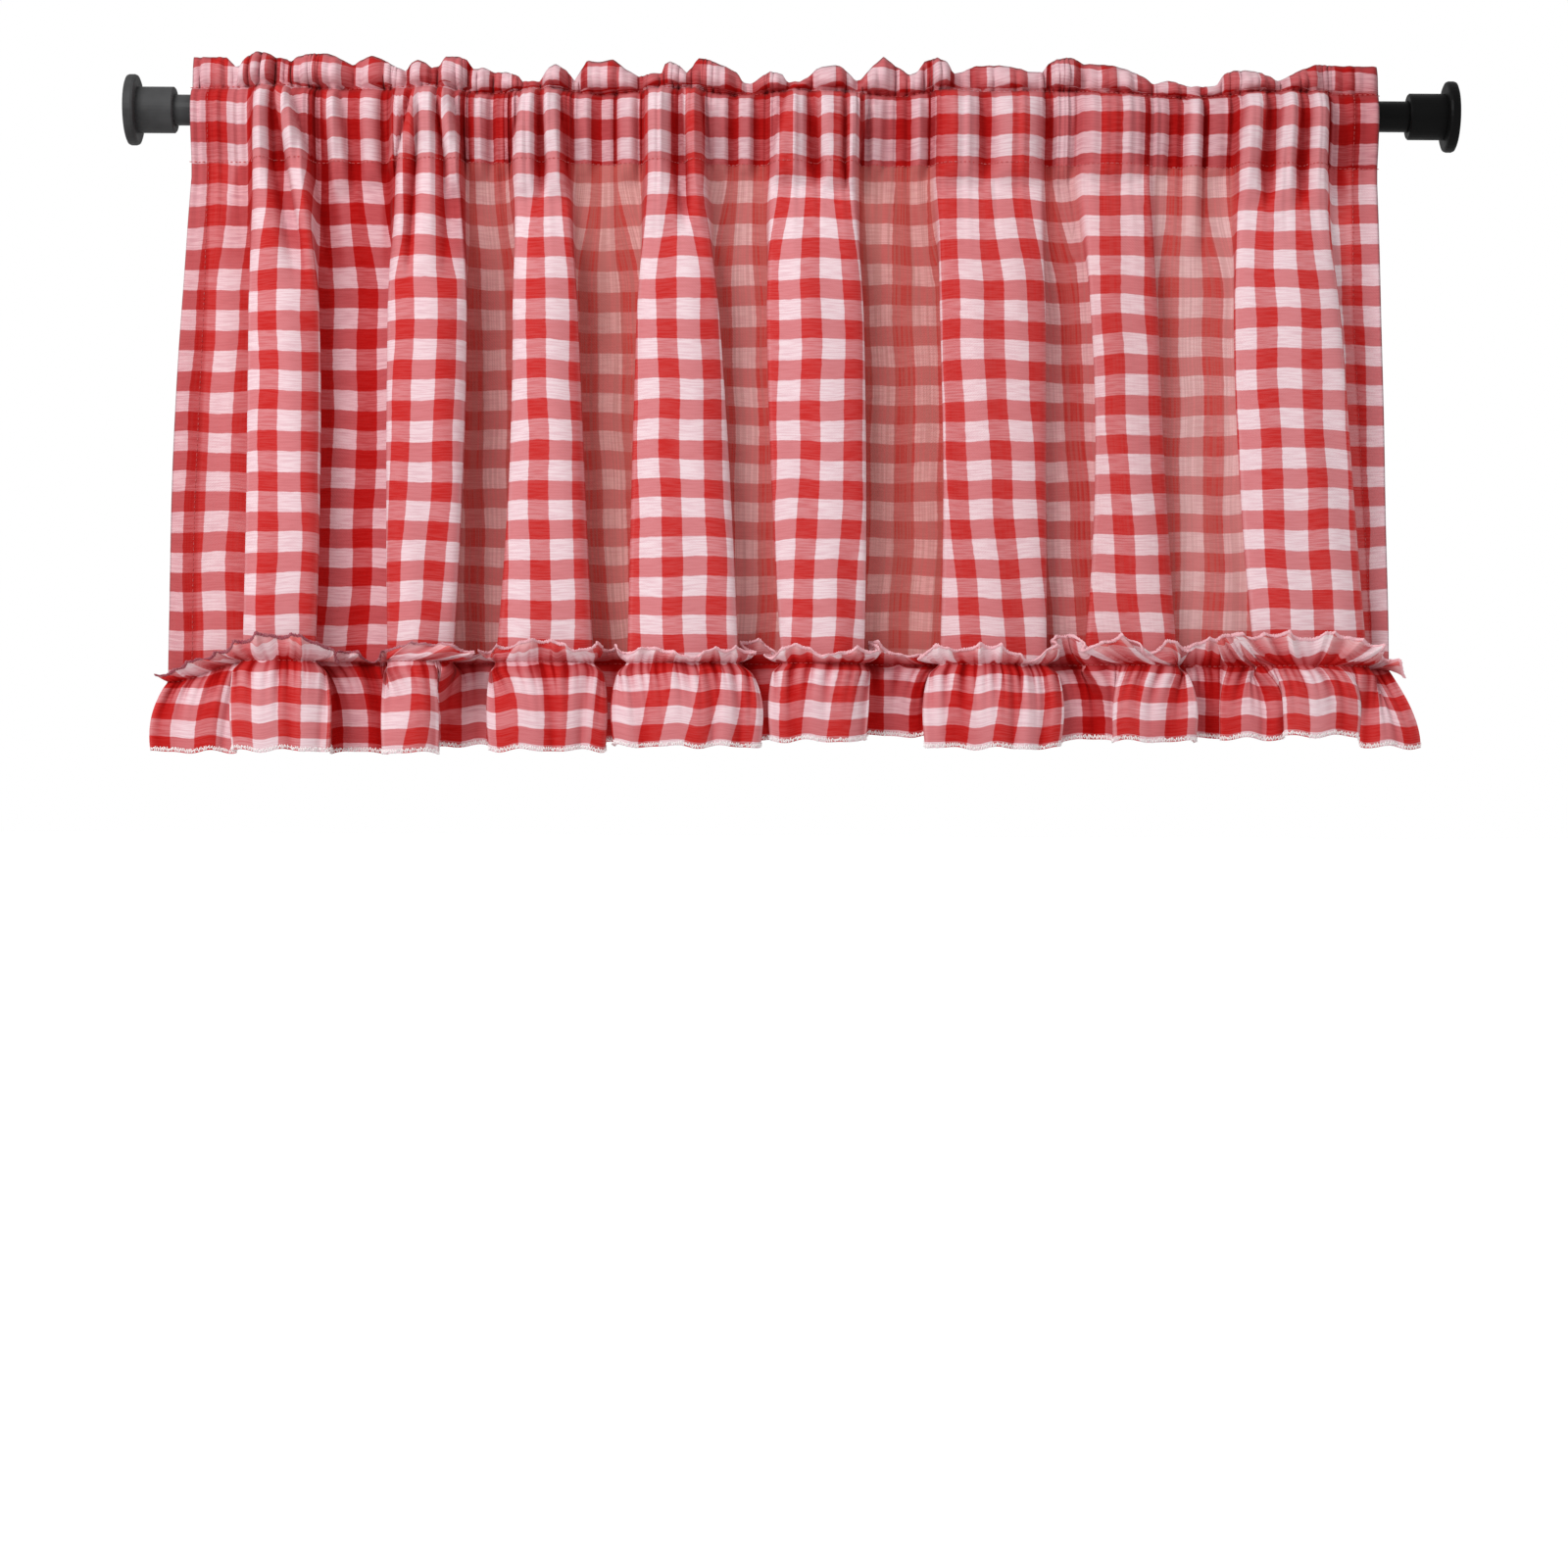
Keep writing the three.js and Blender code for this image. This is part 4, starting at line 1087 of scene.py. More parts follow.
def frill_rows(seam):
    """Rows of the frill from its free edge down to the seam: points, flat places along and painted shade,
    with painted light towards its free edge.
    """
    left, right = column(FLOUNCE, "frill_left"), column(FLOUNCE, "frill_right")
    edge_x = softened(between_faces(seam.place, left, right, ease), EDGE_SOFTENING)
    edge_z = softened(frill_heights(seam.place), CREST_SOFTENING)
    ripple, sway = ripples(edge_x)
    rows = []
    for t in [k / FRILL_ROWS for k in range(FRILL_ROWS, 0, -1)]:
        row = beside(seam.row, SEAM_OFFSET + (FREE_OFFSET - SEAM_OFFSET) * min(1, 2 * t))
        lean = FRILL_LEAN * t**LEAN_POWER + t**RIPPLE_POWER * ripple
        lean = lean + FRILL_PUCKER * np.sin(np.pi * t) * puckers(seam.place, 0)
        row[:, 0] += (edge_x - row[:, 0]) * t**FRILL_SPREAD_POWER + sway * t
        row[:, 1] -= np.maximum(lean, FRILL_BACK)
        front = front_depths(row[:, 0], RUFFLE_SEAM)
        clear = front + FRILL_CLEAR + np.maximum(LEAN_CLEAR * lean, 0)
        row[:, 1] = np.where(seam.puffed > 0.5, np.minimum(row[:, 1], -clear), row[:, 1])
        row[:, 1] = np.maximum(row[:, 1], -FRILL_FURTHEST)
        rise = (edge_z - RUFFLE_SEAM) * t
        row[:, 2] = RUFFLE_SEAM - seam.droop * (1 - t) + rise + FRILL_BOB * t * ripple
        # Painted shade in the frill's creases and at its foot by the seam, and painted light that pales
        # it towards its free edge.
        sharp = SHARP_FRILL * (1 - t) ** SHARP_POWER * seam.creases
        creased = t * np.clip(-ripple / FRILL_CREASE, 0, 1) + sharp
        deep = FRILL_DEEP * seam.deep + FRILL_FOOT_SHADE * (1 - t) ** FRILL_FOOT_POWER
        deep = deep + FRILL_CREASE_SHADE * creased - FRILL_PAINTED_LIGHT * t
        rows.append((row, seam.stripes - seam.leans, deep))
    return rows


def flounce_rows(seam, sewn_row):
    """Rows of the ruffle from just below the seam to the hem: points, flat places along and painted
    shade.
    """
    place = seam.place
    hem_x, hem_depth = section(RUFFLE, place, HEMS, column(FLOUNCE, "depth"), HEM_WALL_RUN)
    hem_depth = hem_depth + crowns(RUFFLE, FLOUNCE, place)
    hem_z = section(RUFFLE, place, HEMS, column(FLOUNCE, "z"), 0)[1] + waves(HEM_WAVES, place, 0)
    bulge = over_faces(RUFFLE, place, column(FLOUNCE, "bulge"))
    middle = over_faces(RUFFLE, place, (HEMS[:-1] + HEMS[1:]) / 2)
    rim_highlights = painted_rim_highlights(RUFFLE, FLOUNCE, place)
    spreads = np.array([LEFT_SPREAD, *[PUFF_SPREAD] * (len(FLOUNCE) - 2), RIGHT_SPREAD])
    spreads = over_faces(RUFFLE, place, spreads)
    rows = []
    for t in [(k / FLOUNCE_ROWS) ** FLOUNCE_CROWDING for k in range(1, FLOUNCE_ROWS + 1)]:
        free = ease(t / FREE_SHARE)
        start = beside(seam.row, FREE_OFFSET + (HEM_OFFSET - FREE_OFFSET) * t)
        start = sewn_row + (start - sewn_row) * free
        x = start[:, 0] + (hem_x - start[:, 0]) * (1 - (1 - t) ** spreads)
        x = x + BARREL * np.sin(np.pi * t) * seam.puffed * (x - middle)
        leaves = hem_depth + start[:, 1]
        back = ease((t - BACK_FROM) / BACK_RUN)
        depth = -start[:, 1] + leaves * np.where(leaves < 0, back, 1 - (1 - t) ** FLARE_POWER)
        pucker = puckers(place, t)
        depth = depth + bulge * np.sin(np.pi * t) ** BULGE_POWER + free * pucker
        z = RUFFLE_SEAM - seam.droop * (1 - t) + (hem_z - RUFFLE_SEAM) * t
        # Painted shade in the puckers' creases, a painted shadow under the frill along the seam, and
        # painted highlights on the puffs' rims.
        creased = CREASE_SHADE * np.clip(-pucker / PUFF_CREASE, 0, 1)
        sharp = SHARP_PUFF * np.exp(-((t / NEAR_SEAM) ** 2)) * seam.creases
        seamed = SEAM_SHADE * np.exp(-((t / SEAM_WIDTH) ** 2)) + sharp
        deep = seam.deep + seamed + creased + free * rim_highlights
        rows.append((np.stack([x, -depth, z], 1), seam.stripes - seam.leans * (1 - t), deep))
    return rows


@lru_cache(maxsize=1)
def ruffle_grid():
    """The ruffle from the top of its frill over the seam to its hem."""
    seam = ruffle_seam()
    frill = frill_rows(seam)
    sewn_row = beside(seam.row, SEAM_OFFSET)
    sewn_row[:, 2] -= seam.droop
    # Painted shadow on the sewn row under the frill, deeper in its creases.
    sewn_shade = SEWN_DEEP * seam.deep + SEWN_SHADE + SEWN_CREASE * seam.creases
    middle = (sewn_row, seam.stripes - seam.leans, sewn_shade)
    rows = zip(*frill, middle, *flounce_rows(seam, sewn_row))
    points, along, deep = (np.array(values) for values in rows)
    moves = np.diff(points, axis=0)
    moves[: len(frill), :, :2] *= FRILL_FLATNESS
    steps = np.linalg.norm(moves, axis=2)
    run = np.concatenate([np.zeros((1, len(seam.place))), np.cumsum(steps, axis=0)])
    lifted = over_faces(RUFFLE, seam.place, column(FLOUNCE, "row"))
    down = HEM_TO_RED_ROW + lifted + RUFFLE_ROW_STRETCH * (run - run[-1])
    return Grid(points, np.stack([along, down], -1), np.zeros_like(down), deep, {"seam": len(frill)})


def placed(name, data):
    """A new object in the scene."""
    made = bpy.data.objects.new(name, data)
    bpy.context.scene.collection.objects.link(made)
    return made


def sheet_object(name, grid, material):
    """A mesh of quads over a grid, with its flat places and shade as attributes."""
    rows, columns = grid.points.shape[:2]
    index = np.arange(rows * columns).reshape(rows, columns)
    corners = [index[:-1, :-1], index[:-1, 1:], index[1:, 1:], index[1:, :-1]]
    quads = np.stack(corners, -1).reshape(-1, 4)
    mesh = bpy.data.meshes.new(name)
    mesh.from_pydata((grid.points.reshape(-1, 3) * MM).tolist(), [], quads.tolist())
    flat = np.concatenate([grid.flat * MM, np.zeros((rows, columns, 1))], axis=2)
    for label, kind, key, values in (
        ("flat_place", "FLOAT_VECTOR", "vector", flat),
        ("sheer", "FLOAT", "value", grid.sheer),
        ("deep", "FLOAT", "value", grid.deep),
    ):
        held = mesh.attributes.new(label, kind, "POINT")
        held.data.foreach_set(key, values.astype(np.float32).ravel())
    mesh.polygons.foreach_set("use_smooth", np.ones(len(quads), dtype=bool))
    mesh.materials.append(material)
    mesh.update()
    return placed(name, mesh)


def feed(tree, made, inputs):
    """Gives a node its inputs, which are sockets to link or plain values."""
    for key, value in inputs.items():
        if isinstance(value, bpy.types.NodeSocket):
            tree.links.new(value, made.inputs[key])
        else:
            made.inputs[key].default_value = value


def node(tree, kind, inputs=None, **settings):
    """A node with its settings and its inputs."""
    made = tree.nodes.new(kind)
    for key, value in settings.items():
        setattr(made, key, value)
    feed(tree, made, inputs or {})
    return made


def sums(tree, operation, *values):
    """A sum of numbers."""
    return node(tree, "ShaderNodeMath", dict(enumerate(values)), operation=operation).outputs[0]


def vectors(tree, operation, first, second):
    """A sum of two vectors, or a vector with its scale."""
    other = "Scale" if operation == "SCALE" else 1
    return node(tree, "ShaderNodeVectorMath", {0: first, other: second}, operation=operation).outputs[0]


def colour_mix(tree, share, a, b, blend="MIX"):
    """Two colours mixed by a share, or blended in another way."""
    made = node(tree, "ShaderNodeMix", {0: share, 6: a, 7: b}, data_type="RGBA", blend_type=blend)
    return made.outputs[2]


def ranged(tree, value, low, high, to_low, to_high, smooth=True):
    """A value carried from one range to another."""
    inputs = {"Value": value, 1: low, 2: high, 3: to_low, 4: to_high}
    kind = "SMOOTHSTEP" if smooth else "LINEAR"
    return node(tree, "ShaderNodeMapRange", inputs, interpolation_type=kind).outputs[0]


def noise(tree, place, scale, detail):
    """Noise about 0.5."""
    inputs = {"Vector": place, "Scale": scale, "Detail": detail}
    return node(tree, "ShaderNodeTexNoise", inputs).outputs[0]


def parts_of(tree, place):
    """x, y and z of a place."""
    return node(tree, "ShaderNodeSeparateXYZ", {0: place}).outputs


def relief(tree, height, strength, distance):
    """A normal from fine relief."""
    inputs = {"Height": height, "Strength": strength, "Distance": distance}
    return node(tree, "ShaderNodeBump", inputs).outputs[0]


def new_group(name, ins, outs):
    """A shader group with named sockets, and its two end nodes."""
    tree = bpy.data.node_groups.new(name, "ShaderNodeTree")
    for label, kind, default in ins:
        socket = tree.interface.new_socket(label, in_out="INPUT", socket_type=kind)
        if default is not None:
            socket.default_value = default
    for label, kind in outs:
        tree.interface.new_socket(label, in_out="OUTPUT", socket_type=kind)
    return tree, tree.nodes.new("NodeGroupInput").outputs, tree.nodes.new("NodeGroupOutput")


def gingham_group():
    """Check of red and white yarns: full red where both are red, pink where one is."""
    known = bpy.data.node_groups.get("gingham check")
    if known:
        return known
    ins = [
        ("Flat Place", "NodeSocketVector", None),
        ("Column Period", "NodeSocketFloat", COLUMN_PERIOD * MM),
        ("Red Column", "NodeSocketFloat", RED_COLUMN * MM),
        ("Row Period", "NodeSocketFloat", ROW_PERIOD * MM),
        ("Red Row", "NodeSocketFloat", RED_ROW * MM),
        ("Edge", "NodeSocketFloat", EDGE_SOFTNESS),
        ("Red", "NodeSocketColor", (0.7, 0.02, 0.02, 1)),
        ("White", "NodeSocketColor", (0.9, 0.85, 0.86, 1)),
    ]
    outs = [
        ("Color", "NodeSocketColor"),
        ("Red Share", "NodeSocketFloat"),
        ("White Row", "NodeSocketFloat"),
    ]
    tree, given, end = new_group("gingham check", ins, outs)
    at = parts_of(tree, given["Flat Place"])
    wander = noise(tree, given["Flat Place"], *EDGE_NOISE)
    shift = sums(tree, "MULTIPLY", sums(tree, "SUBTRACT", wander, 0.5), EDGE_WANDER)
    masks = []
    for k, label in enumerate(("Column", "Row")):
        period = given[label + " Period"]
        half = sums(tree, "MULTIPLY", given["Red " + label], 0.5)
        moved = sums(tree, "ADD", at[k], shift)
        if label == "Column":
            moved = sums(tree, "SUBTRACT", moved, half)
        far = sums(tree, "MULTIPLY", period, 0.5)
        near = sums(tree, "MULTIPLY", period, -0.5)
        away = sums(tree, "ABSOLUTE", sums(tree, "WRAP", moved, far, near))
        low = sums(tree, "SUBTRACT", half, given["Edge"])
        high = sums(tree, "ADD", half, given["Edge"])
        masks.append(ranged(tree, away, low, high, 1.0, 0.0))
    columns = sums(tree, "MULTIPLY", masks[0], COLUMN_SHARE)
    both = sums(tree, "MULTIPLY_ADD", masks[1], 1 - COLUMN_SHARE, columns)
    pale = sums(tree, "POWER", sums(tree, "SUBTRACT", 1.0, both), PINK_POWER)
    red = sums(tree, "SUBTRACT", 1.0, pale)
    colour = colour_mix(tree, red, given["White"], given["Red"])
    white_row = sums(tree, "SUBTRACT", 1.0, masks[1])
    feed(tree, end, {"Color": colour, "Red Share": both, "White Row": white_row})
    return tree


def weave_group():
    """Plain weave of uneven yarns: bump height, streaks along the weft and lines along the warp."""
    known = bpy.data.node_groups.get("uneven weave")
    if known:
        return known
    ins = [("Flat Place", "NodeSocketVector", None), ("Yarn", "NodeSocketFloat", 0.0009)]
    outs = [(label, "NodeSocketFloat") for label in ("Height", "Streaks", "Lines")]
    tree, given, end = new_group("uneven weave", ins, outs)
    place = given["Flat Place"]
    at = parts_of(tree, place)
    turns = sums(tree, "DIVIDE", math.pi, given["Yarn"])
    warp, weft = (sums(tree, "SINE", sums(tree, "MULTIPLY", at[k], turns)) for k in (0, 1))
    streaks = noise(tree, vectors(tree, "MULTIPLY", place, SLUB_STRETCH), *SLUB_NOISE)
    lines = noise(tree, vectors(tree, "MULTIPLY", place, LINE_STRETCH), *LINE_NOISE)
    crossings = sums(tree, "MULTIPLY", warp, weft)
    height = sums(tree, "ADD", crossings, sums(tree, "MULTIPLY", streaks, SLUB_HEIGHT))
    feed(tree, end, {"Height": height, "Streaks": streaks, "Lines": lines})
    return tree


def new_material(name):
    """A material with one shader, its tree, the shader and the output."""
    material = bpy.data.materials.new(name)
    material.use_nodes = True
    tree = material.node_tree
    tree.nodes.clear()
    shader = node(tree, "ShaderNodeBsdfPrincipled")
    output = node(tree, "ShaderNodeOutputMaterial", {0: shader.outputs[0]})
    return material, tree, shader, output


def gingham_material(name, sizes):
    """Light cotton: check, weave and slub streaks, sheer behind with painted shade and painted light
    there, deep where it is doubled and where shade is painted, pale where light is painted.
    """
    material, tree, shader, output = new_material(name)
    place = node(tree, "ShaderNodeAttribute", attribute_name="flat_place").outputs["Vector"]
    sheer = node(tree, "ShaderNodeAttribute", attribute_name="sheer").outputs["Fac"]
    deep = node(tree, "ShaderNodeAttribute", attribute_name="deep").outputs["Fac"]
    given = {
        "Flat Place": place,
        "Column Period": sizes.column_period,
        "Red Column": sizes.red_column,
        "Row Period": sizes.row_period,
        "Red Row": sizes.red_row,
        "Red": sizes.red,
        "White": sizes.white,
    }
    check = node(tree, "ShaderNodeGroup", node_tree=gingham_group())
    feed(tree, check, given)
    weave = node(tree, "ShaderNodeGroup", node_tree=weave_group())
    feed(tree, weave, {"Flat Place": place, "Yarn": sizes.yarn})
    streaks = weave.outputs["Streaks"]
    paler = ranged(tree, check.outputs["Red Share"], *FLECK_BY_RED)
    paler = sums(tree, "MULTIPLY", paler, check.outputs["White Row"])
    paler = sums(tree, "MAXIMUM", paler, LEAST_FLECK)
    fleck = sums(tree, "MULTIPLY", ranged(tree, streaks, *FLECK_RANGE), paler)
    cloth = colour_mix(tree, fleck, check.outputs["Color"], sizes.fleck)
    cloth = vectors(tree, "SCALE", cloth, ranged(tree, streaks, *SLUB_SHADE))
    # The deep attribute deepens and tints the colour: painted shade and the deeper colour of doubled
    # cloth, or painted light that pales it where negative.
    power = sums(tree, "MULTIPLY_ADD", deep, DEEP_POWER, 1.0)
    cloth = node(tree, "ShaderNodeGamma", {"Color": cloth, "Gamma": power}).outputs[0]
    doubled = colour_mix(tree, sums(tree, "MULTIPLY", deep, DEEP_TINT), WHITE, sizes.doubled_and_shade_tint)
    cloth = colour_mix(tree, 1.0, cloth, doubled, "MULTIPLY")
    lined = ranged(tree, weave.outputs["Lines"], *LINE_RANGE)
    lines = sums(tree, "MULTIPLY", lined, sums(tree, "MULTIPLY", sheer, LINE_STRENGTH))
    cloth = colour_mix(tree, lines, cloth, sizes.yarn_shadow)
    # Painted shade on the cloth that hangs back.
    recess_shade = colour_mix(tree, sheer, WHITE, sizes.recess_painted_shade)
    cloth = colour_mix(tree, 1.0, cloth, recess_shade, "MULTIPLY")
    # Painted light lifts the darks of the cloth that hangs back.
    recess_painted_light = colour_mix(tree, sheer, BLACK, sizes.recess_painted_light)
    cloth = colour_mix(tree, 1.0, cloth, recess_painted_light, "ADD")
    finish = {
        "Base Color": cloth,
        "Roughness": ranged(tree, streaks, *CLOTH_ROUGHNESS),
        "Specular IOR Level": 0.1,
        "Sheen Weight": 0.08,
        "Sheen Roughness": 0.4,
        "Normal": relief(tree, weave.outputs["Height"], *CLOTH_RELIEF),
    }
    feed(tree, shader, finish)
    lit = node(tree, "ShaderNodeBsdfTranslucent", {"Color": cloth})
    inputs = {0: THROUGH_LIGHT, 1: shader.outputs[0], 2: lit.outputs[0]}
    feed(tree, output, {0: node(tree, "ShaderNodeMixShader", inputs).outputs[0]})
    return material


def turning(tree, place, colour, other, change):
    """A colour that turns to another one along the rod, where there is another."""
    if other is None:
        return colour
    return colour_mix(tree, ranged(tree, parts_of(tree, place)[0], *change, 0.0, 1.0), colour, other)


def satin_black(name, tone, roughness, other=None):
    """Painted or moulded black with a fine uneven skin, in one tone or turning to another along x, as the
    tube turns from its painted lighter left end.
    """
    material, tree, shader, _ = new_material(name)
    place = node(tree, "ShaderNodeTexCoord").outputs["Object"]
    skin = noise(tree, place, *SKIN_NOISE)
    cloudy = noise(tree, place, *CLOUD_NOISE)
    base = turning(tree, place, tone, other, TUBE_PAINTED_LIGHT_FADE)
    clouds = ranged(tree, cloudy, *CLOUD_RANGE, 0.0, 1.0)
    mottled = colour_mix(tree, clouds, *CLOUD_TONES)
    finish = {
        "Base Color": colour_mix(tree, 1.0, base, mottled, "MULTIPLY"),
        "Roughness": ranged(tree, cloudy, *CLOUD_RANGE, roughness - SMOOTHER, roughness + ROUGHER),
        "Specular IOR Level": 0.1,
        "Normal": relief(tree, skin, *SKIN_RELIEF),
    }
    feed(tree, shader, finish)
    return material


def thread_material(name, colour, other=None, change=None):
    """Twisted thread, in one colour or changing to another along the rod."""
    material, tree, shader, _ = new_material(name)
    place = node(tree, "ShaderNodeTexCoord").outputs["Object"]
    twist = noise(tree, place, *TWIST_NOISE)
    base = turning(tree, place, colour, other, change)
    worn = ranged(tree, twist, *WORN_RANGE)
    finish = {
        "Base Color": colour_mix(tree, worn, base, WORN_THREAD),
        "Roughness": 0.8,
        "Sheen Weight": 0.2,
        "Normal": relief(tree, twist, *THREAD_RELIEF),
    }
    feed(tree, shader, finish)
    return material


def line_object(name, paths, insides):
    """A mesh of open lines with, at each point, the direction into the cloth."""
    points, edges, inward = [], [], []
    for path, inside in zip(paths, insides):
        first = len(points)
        points.extend((path * MM).tolist())
        inward.extend(inside.tolist())
        edges.extend((first + k, first + k + 1) for k in range(len(path) - 1))
    mesh = bpy.data.meshes.new(name)
    mesh.from_pydata(points, edges, [])
    held = mesh.attributes.new("inward", "FLOAT_VECTOR", "POINT")
    held.data.foreach_set("vector", np.array(inward, np.float32).ravel())
    return placed(name, mesh)


def stitch_tree():
    """Puts a slim thread at even steps along lines, either along them or across them."""
    known = bpy.data.node_groups.get("sewn thread")
    if known:
        return known
    tree = bpy.data.node_groups.new("sewn thread", "GeometryNodeTree")
    for label, kind, default in (
        ("Geometry", "Geometry", None),
        ("Spacing", "Float", 0.003),
        ("Length", "Float", 0.002),
        ("Thickness", "Float", 0.0005),
        ("Across", "Float", 0.0),
        ("Untidy", "Float", 0.0),
        ("Material", "Material", None),
    ):
        socket = tree.interface.new_socket(label, in_out="INPUT", socket_type="NodeSocket" + kind)
        if default is not None:
            socket.default_value = default
    tree.interface.new_socket("Geometry", in_out="OUTPUT", socket_type="NodeSocketGeometry")
    given = node(tree, "NodeGroupInput").outputs
    curve = node(tree, "GeometryNodeMeshToCurve", {"Mesh": given["Geometry"]})
    inputs = {"Curve": curve.outputs[0], "Length": given["Spacing"]}
    even = node(tree, "GeometryNodeResampleCurve", inputs, mode="LENGTH")
    tangent = node(tree, "GeometryNodeInputTangent").outputs[0]
    kind = {"data_type": "FLOAT_VECTOR"}
    inward = node(tree, "GeometryNodeInputNamedAttribute", {"Name": "inward"}, **kind).outputs[0]
    inputs = {0: given["Across"], 4: tangent, 5: inward}
    lie = node(tree, "ShaderNodeMix", inputs, data_type="VECTOR").outputs[1]
    inputs = {0: (-1, -1, -1), 1: (1, 1, 1), "Seed": SEED}
    stray = node(tree, "FunctionNodeRandomValue", inputs, **kind).outputs[0]
    aim = vectors(tree, "ADD", lie, vectors(tree, "SCALE", stray, given["Untidy"]))
    turn = node(tree, "FunctionNodeAlignRotationToVector", {"Vector": aim}, axis="X")
    inputs = {"Segments": THREAD_SIDES, "Rings": THREAD_RINGS, "Radius": 0.5}
    thread = node(tree, "GeometryNodeMeshUVSphere", inputs)
    inputs = {0: given["Length"], 1: given["Thickness"], 2: given["Thickness"]}
    size = node(tree, "ShaderNodeCombineXYZ", inputs)
    inputs = {"Geometry": thread.outputs[0], "Scale": size.outputs[0]}
    shaped = node(tree, "GeometryNodeTransform", inputs)
    smooth = node(tree, "GeometryNodeSetShadeSmooth", {"Geometry": shaped.outputs[0]})
    inputs = {"Points": even.outputs[0], "Instance": smooth.outputs[0], "Rotation": turn.outputs[0]}
    many = node(tree, "GeometryNodeInstanceOnPoints", inputs)
    real = node(tree, "GeometryNodeRealizeInstances", {"Geometry": many.outputs[0]})
    inputs = {"Geometry": real.outputs[0], "Material": given["Material"]}
    dressed = node(tree, "GeometryNodeSetMaterial", inputs)
    node(tree, "NodeGroupOutput", {0: dressed.outputs[0]})
    return tree


def sewn(name, paths, material, insides=None, **values):
    """Stitches along lines, as a plain mesh."""
    level = [np.tile([0.0, 0.0, 1.0], (len(path), 1)) for path in paths]
    lines = line_object(name + "_lines", paths, insides or level)
    tree = stitch_tree()
    modifier = lines.modifiers.new("sewn thread", "NODES")
    modifier.node_group = tree
    values["Material"] = material
    for item in tree.interface.items_tree:
        if item.in_out == "INPUT" and item.name in values:
            modifier[item.identifier] = values[item.name]
    depsgraph = bpy.context.evaluated_depsgraph_get()
    mesh = bpy.data.meshes.new_from_object(lines.evaluated_get(depsgraph))
    mesh.name = name
    lines.modifiers.remove(modifier)
    bpy.data.objects.remove(lines)
    made = placed(name, mesh)
    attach(made, "root")
    return made


def inward_from(edge, inner):
    """Directions of length one from an edge into its cloth."""
    inside = inner - edge
    return inside / np.linalg.norm(inside, axis=1, keepdims=True)


class RodFinish(bpy.types.PropertyGroup):
    """Finish of the rod and its end caps."""

    tube: FloatVectorProperty(
        name="Tube", description="Colour of the tube",
        subtype="COLOR", size=4, default=(0.002, 0.002, 0.002, 1),
    )
    # Painted light: the left cap and the tube's left end get a lighter tone than the right cap, the same
    # moulding.
    left_cap_painted_lighter: FloatVectorProperty(
        name="Left cap", description="Colour of the left end cap",
        subtype="COLOR", size=4, default=(0.045, 0.045, 0.046, 1),
    )
    right_cap: FloatVectorProperty(
        name="Right cap", description="Colour of the right end cap",
        subtype="COLOR", size=4, default=(0.002, 0.002, 0.002, 1),
    )
    gloss: FloatProperty(
        name="Roughness", description="Roughness of the tube",
        subtype="FACTOR", min=0, max=1, default=0.34,
    )


class ClothFinish(bpy.types.PropertyGroup):
    """Check and colours of the gingham."""

    column_period: FloatProperty(
        name="Column period", description="One red and one white column",
        unit="LENGTH", default=COLUMN_PERIOD * MM,
    )
    red_column: FloatProperty(
        name="Red column", description="Width of a red column",
        unit="LENGTH", default=RED_COLUMN * MM,
    )
    row_period: FloatProperty(
        name="Row period", description="One red and one white row",
        unit="LENGTH", default=ROW_PERIOD * MM,
    )
    red_row: FloatProperty(
        name="Red row", description="Height of a red row",
        unit="LENGTH", default=RED_ROW * MM,
    )
    yarn: FloatProperty(name="Yarn", description="Distance between yarns", unit="LENGTH", default=0.0009)
    red: FloatVectorProperty(
        name="Red", description="Where both yarns are red",
        subtype="COLOR", size=4, default=(0.62, 0.028, 0.026, 1),
    )
    white: FloatVectorProperty(
        name="White", description="Where both yarns are white",
        subtype="COLOR", size=4, default=(0.875, 0.61, 0.66, 1),
    )
    fleck: FloatVectorProperty(
        name="Slubs", description="Thick pale yarns",
        subtype="COLOR", size=4, default=(0.95, 0.80, 0.83, 1),
    )
    # Painted shade of the cloth that hangs back.
    recess_painted_shade: FloatVectorProperty(
        name="Recess", description="Tint of the cloth that hangs back",
        subtype="COLOR", size=4, default=(0.80, 0.495, 0.45, 1),
    )
    # Tint of gathered and doubled cloth and of painted shade.
    doubled_and_shade_tint: FloatVectorProperty(
        name="Doubled", description="Tint of gathered and doubled cloth",
        subtype="COLOR", size=4, default=(0.84, 0.56, 0.54, 1),
    )
    # Painted light on the cloth that hangs back.
    recess_painted_light: FloatVectorProperty(
        name="Haze", description="Dusty light on the cloth that hangs back",
        subtype="COLOR", size=4, default=(0.035, 0.036, 0.03, 1),
    )
    yarn_shadow: FloatVectorProperty(
        name="Lines", description="Fine lines in the sheer cloth",
        subtype="COLOR", size=4, default=(0.46, 0.24, 0.23, 1),
    )


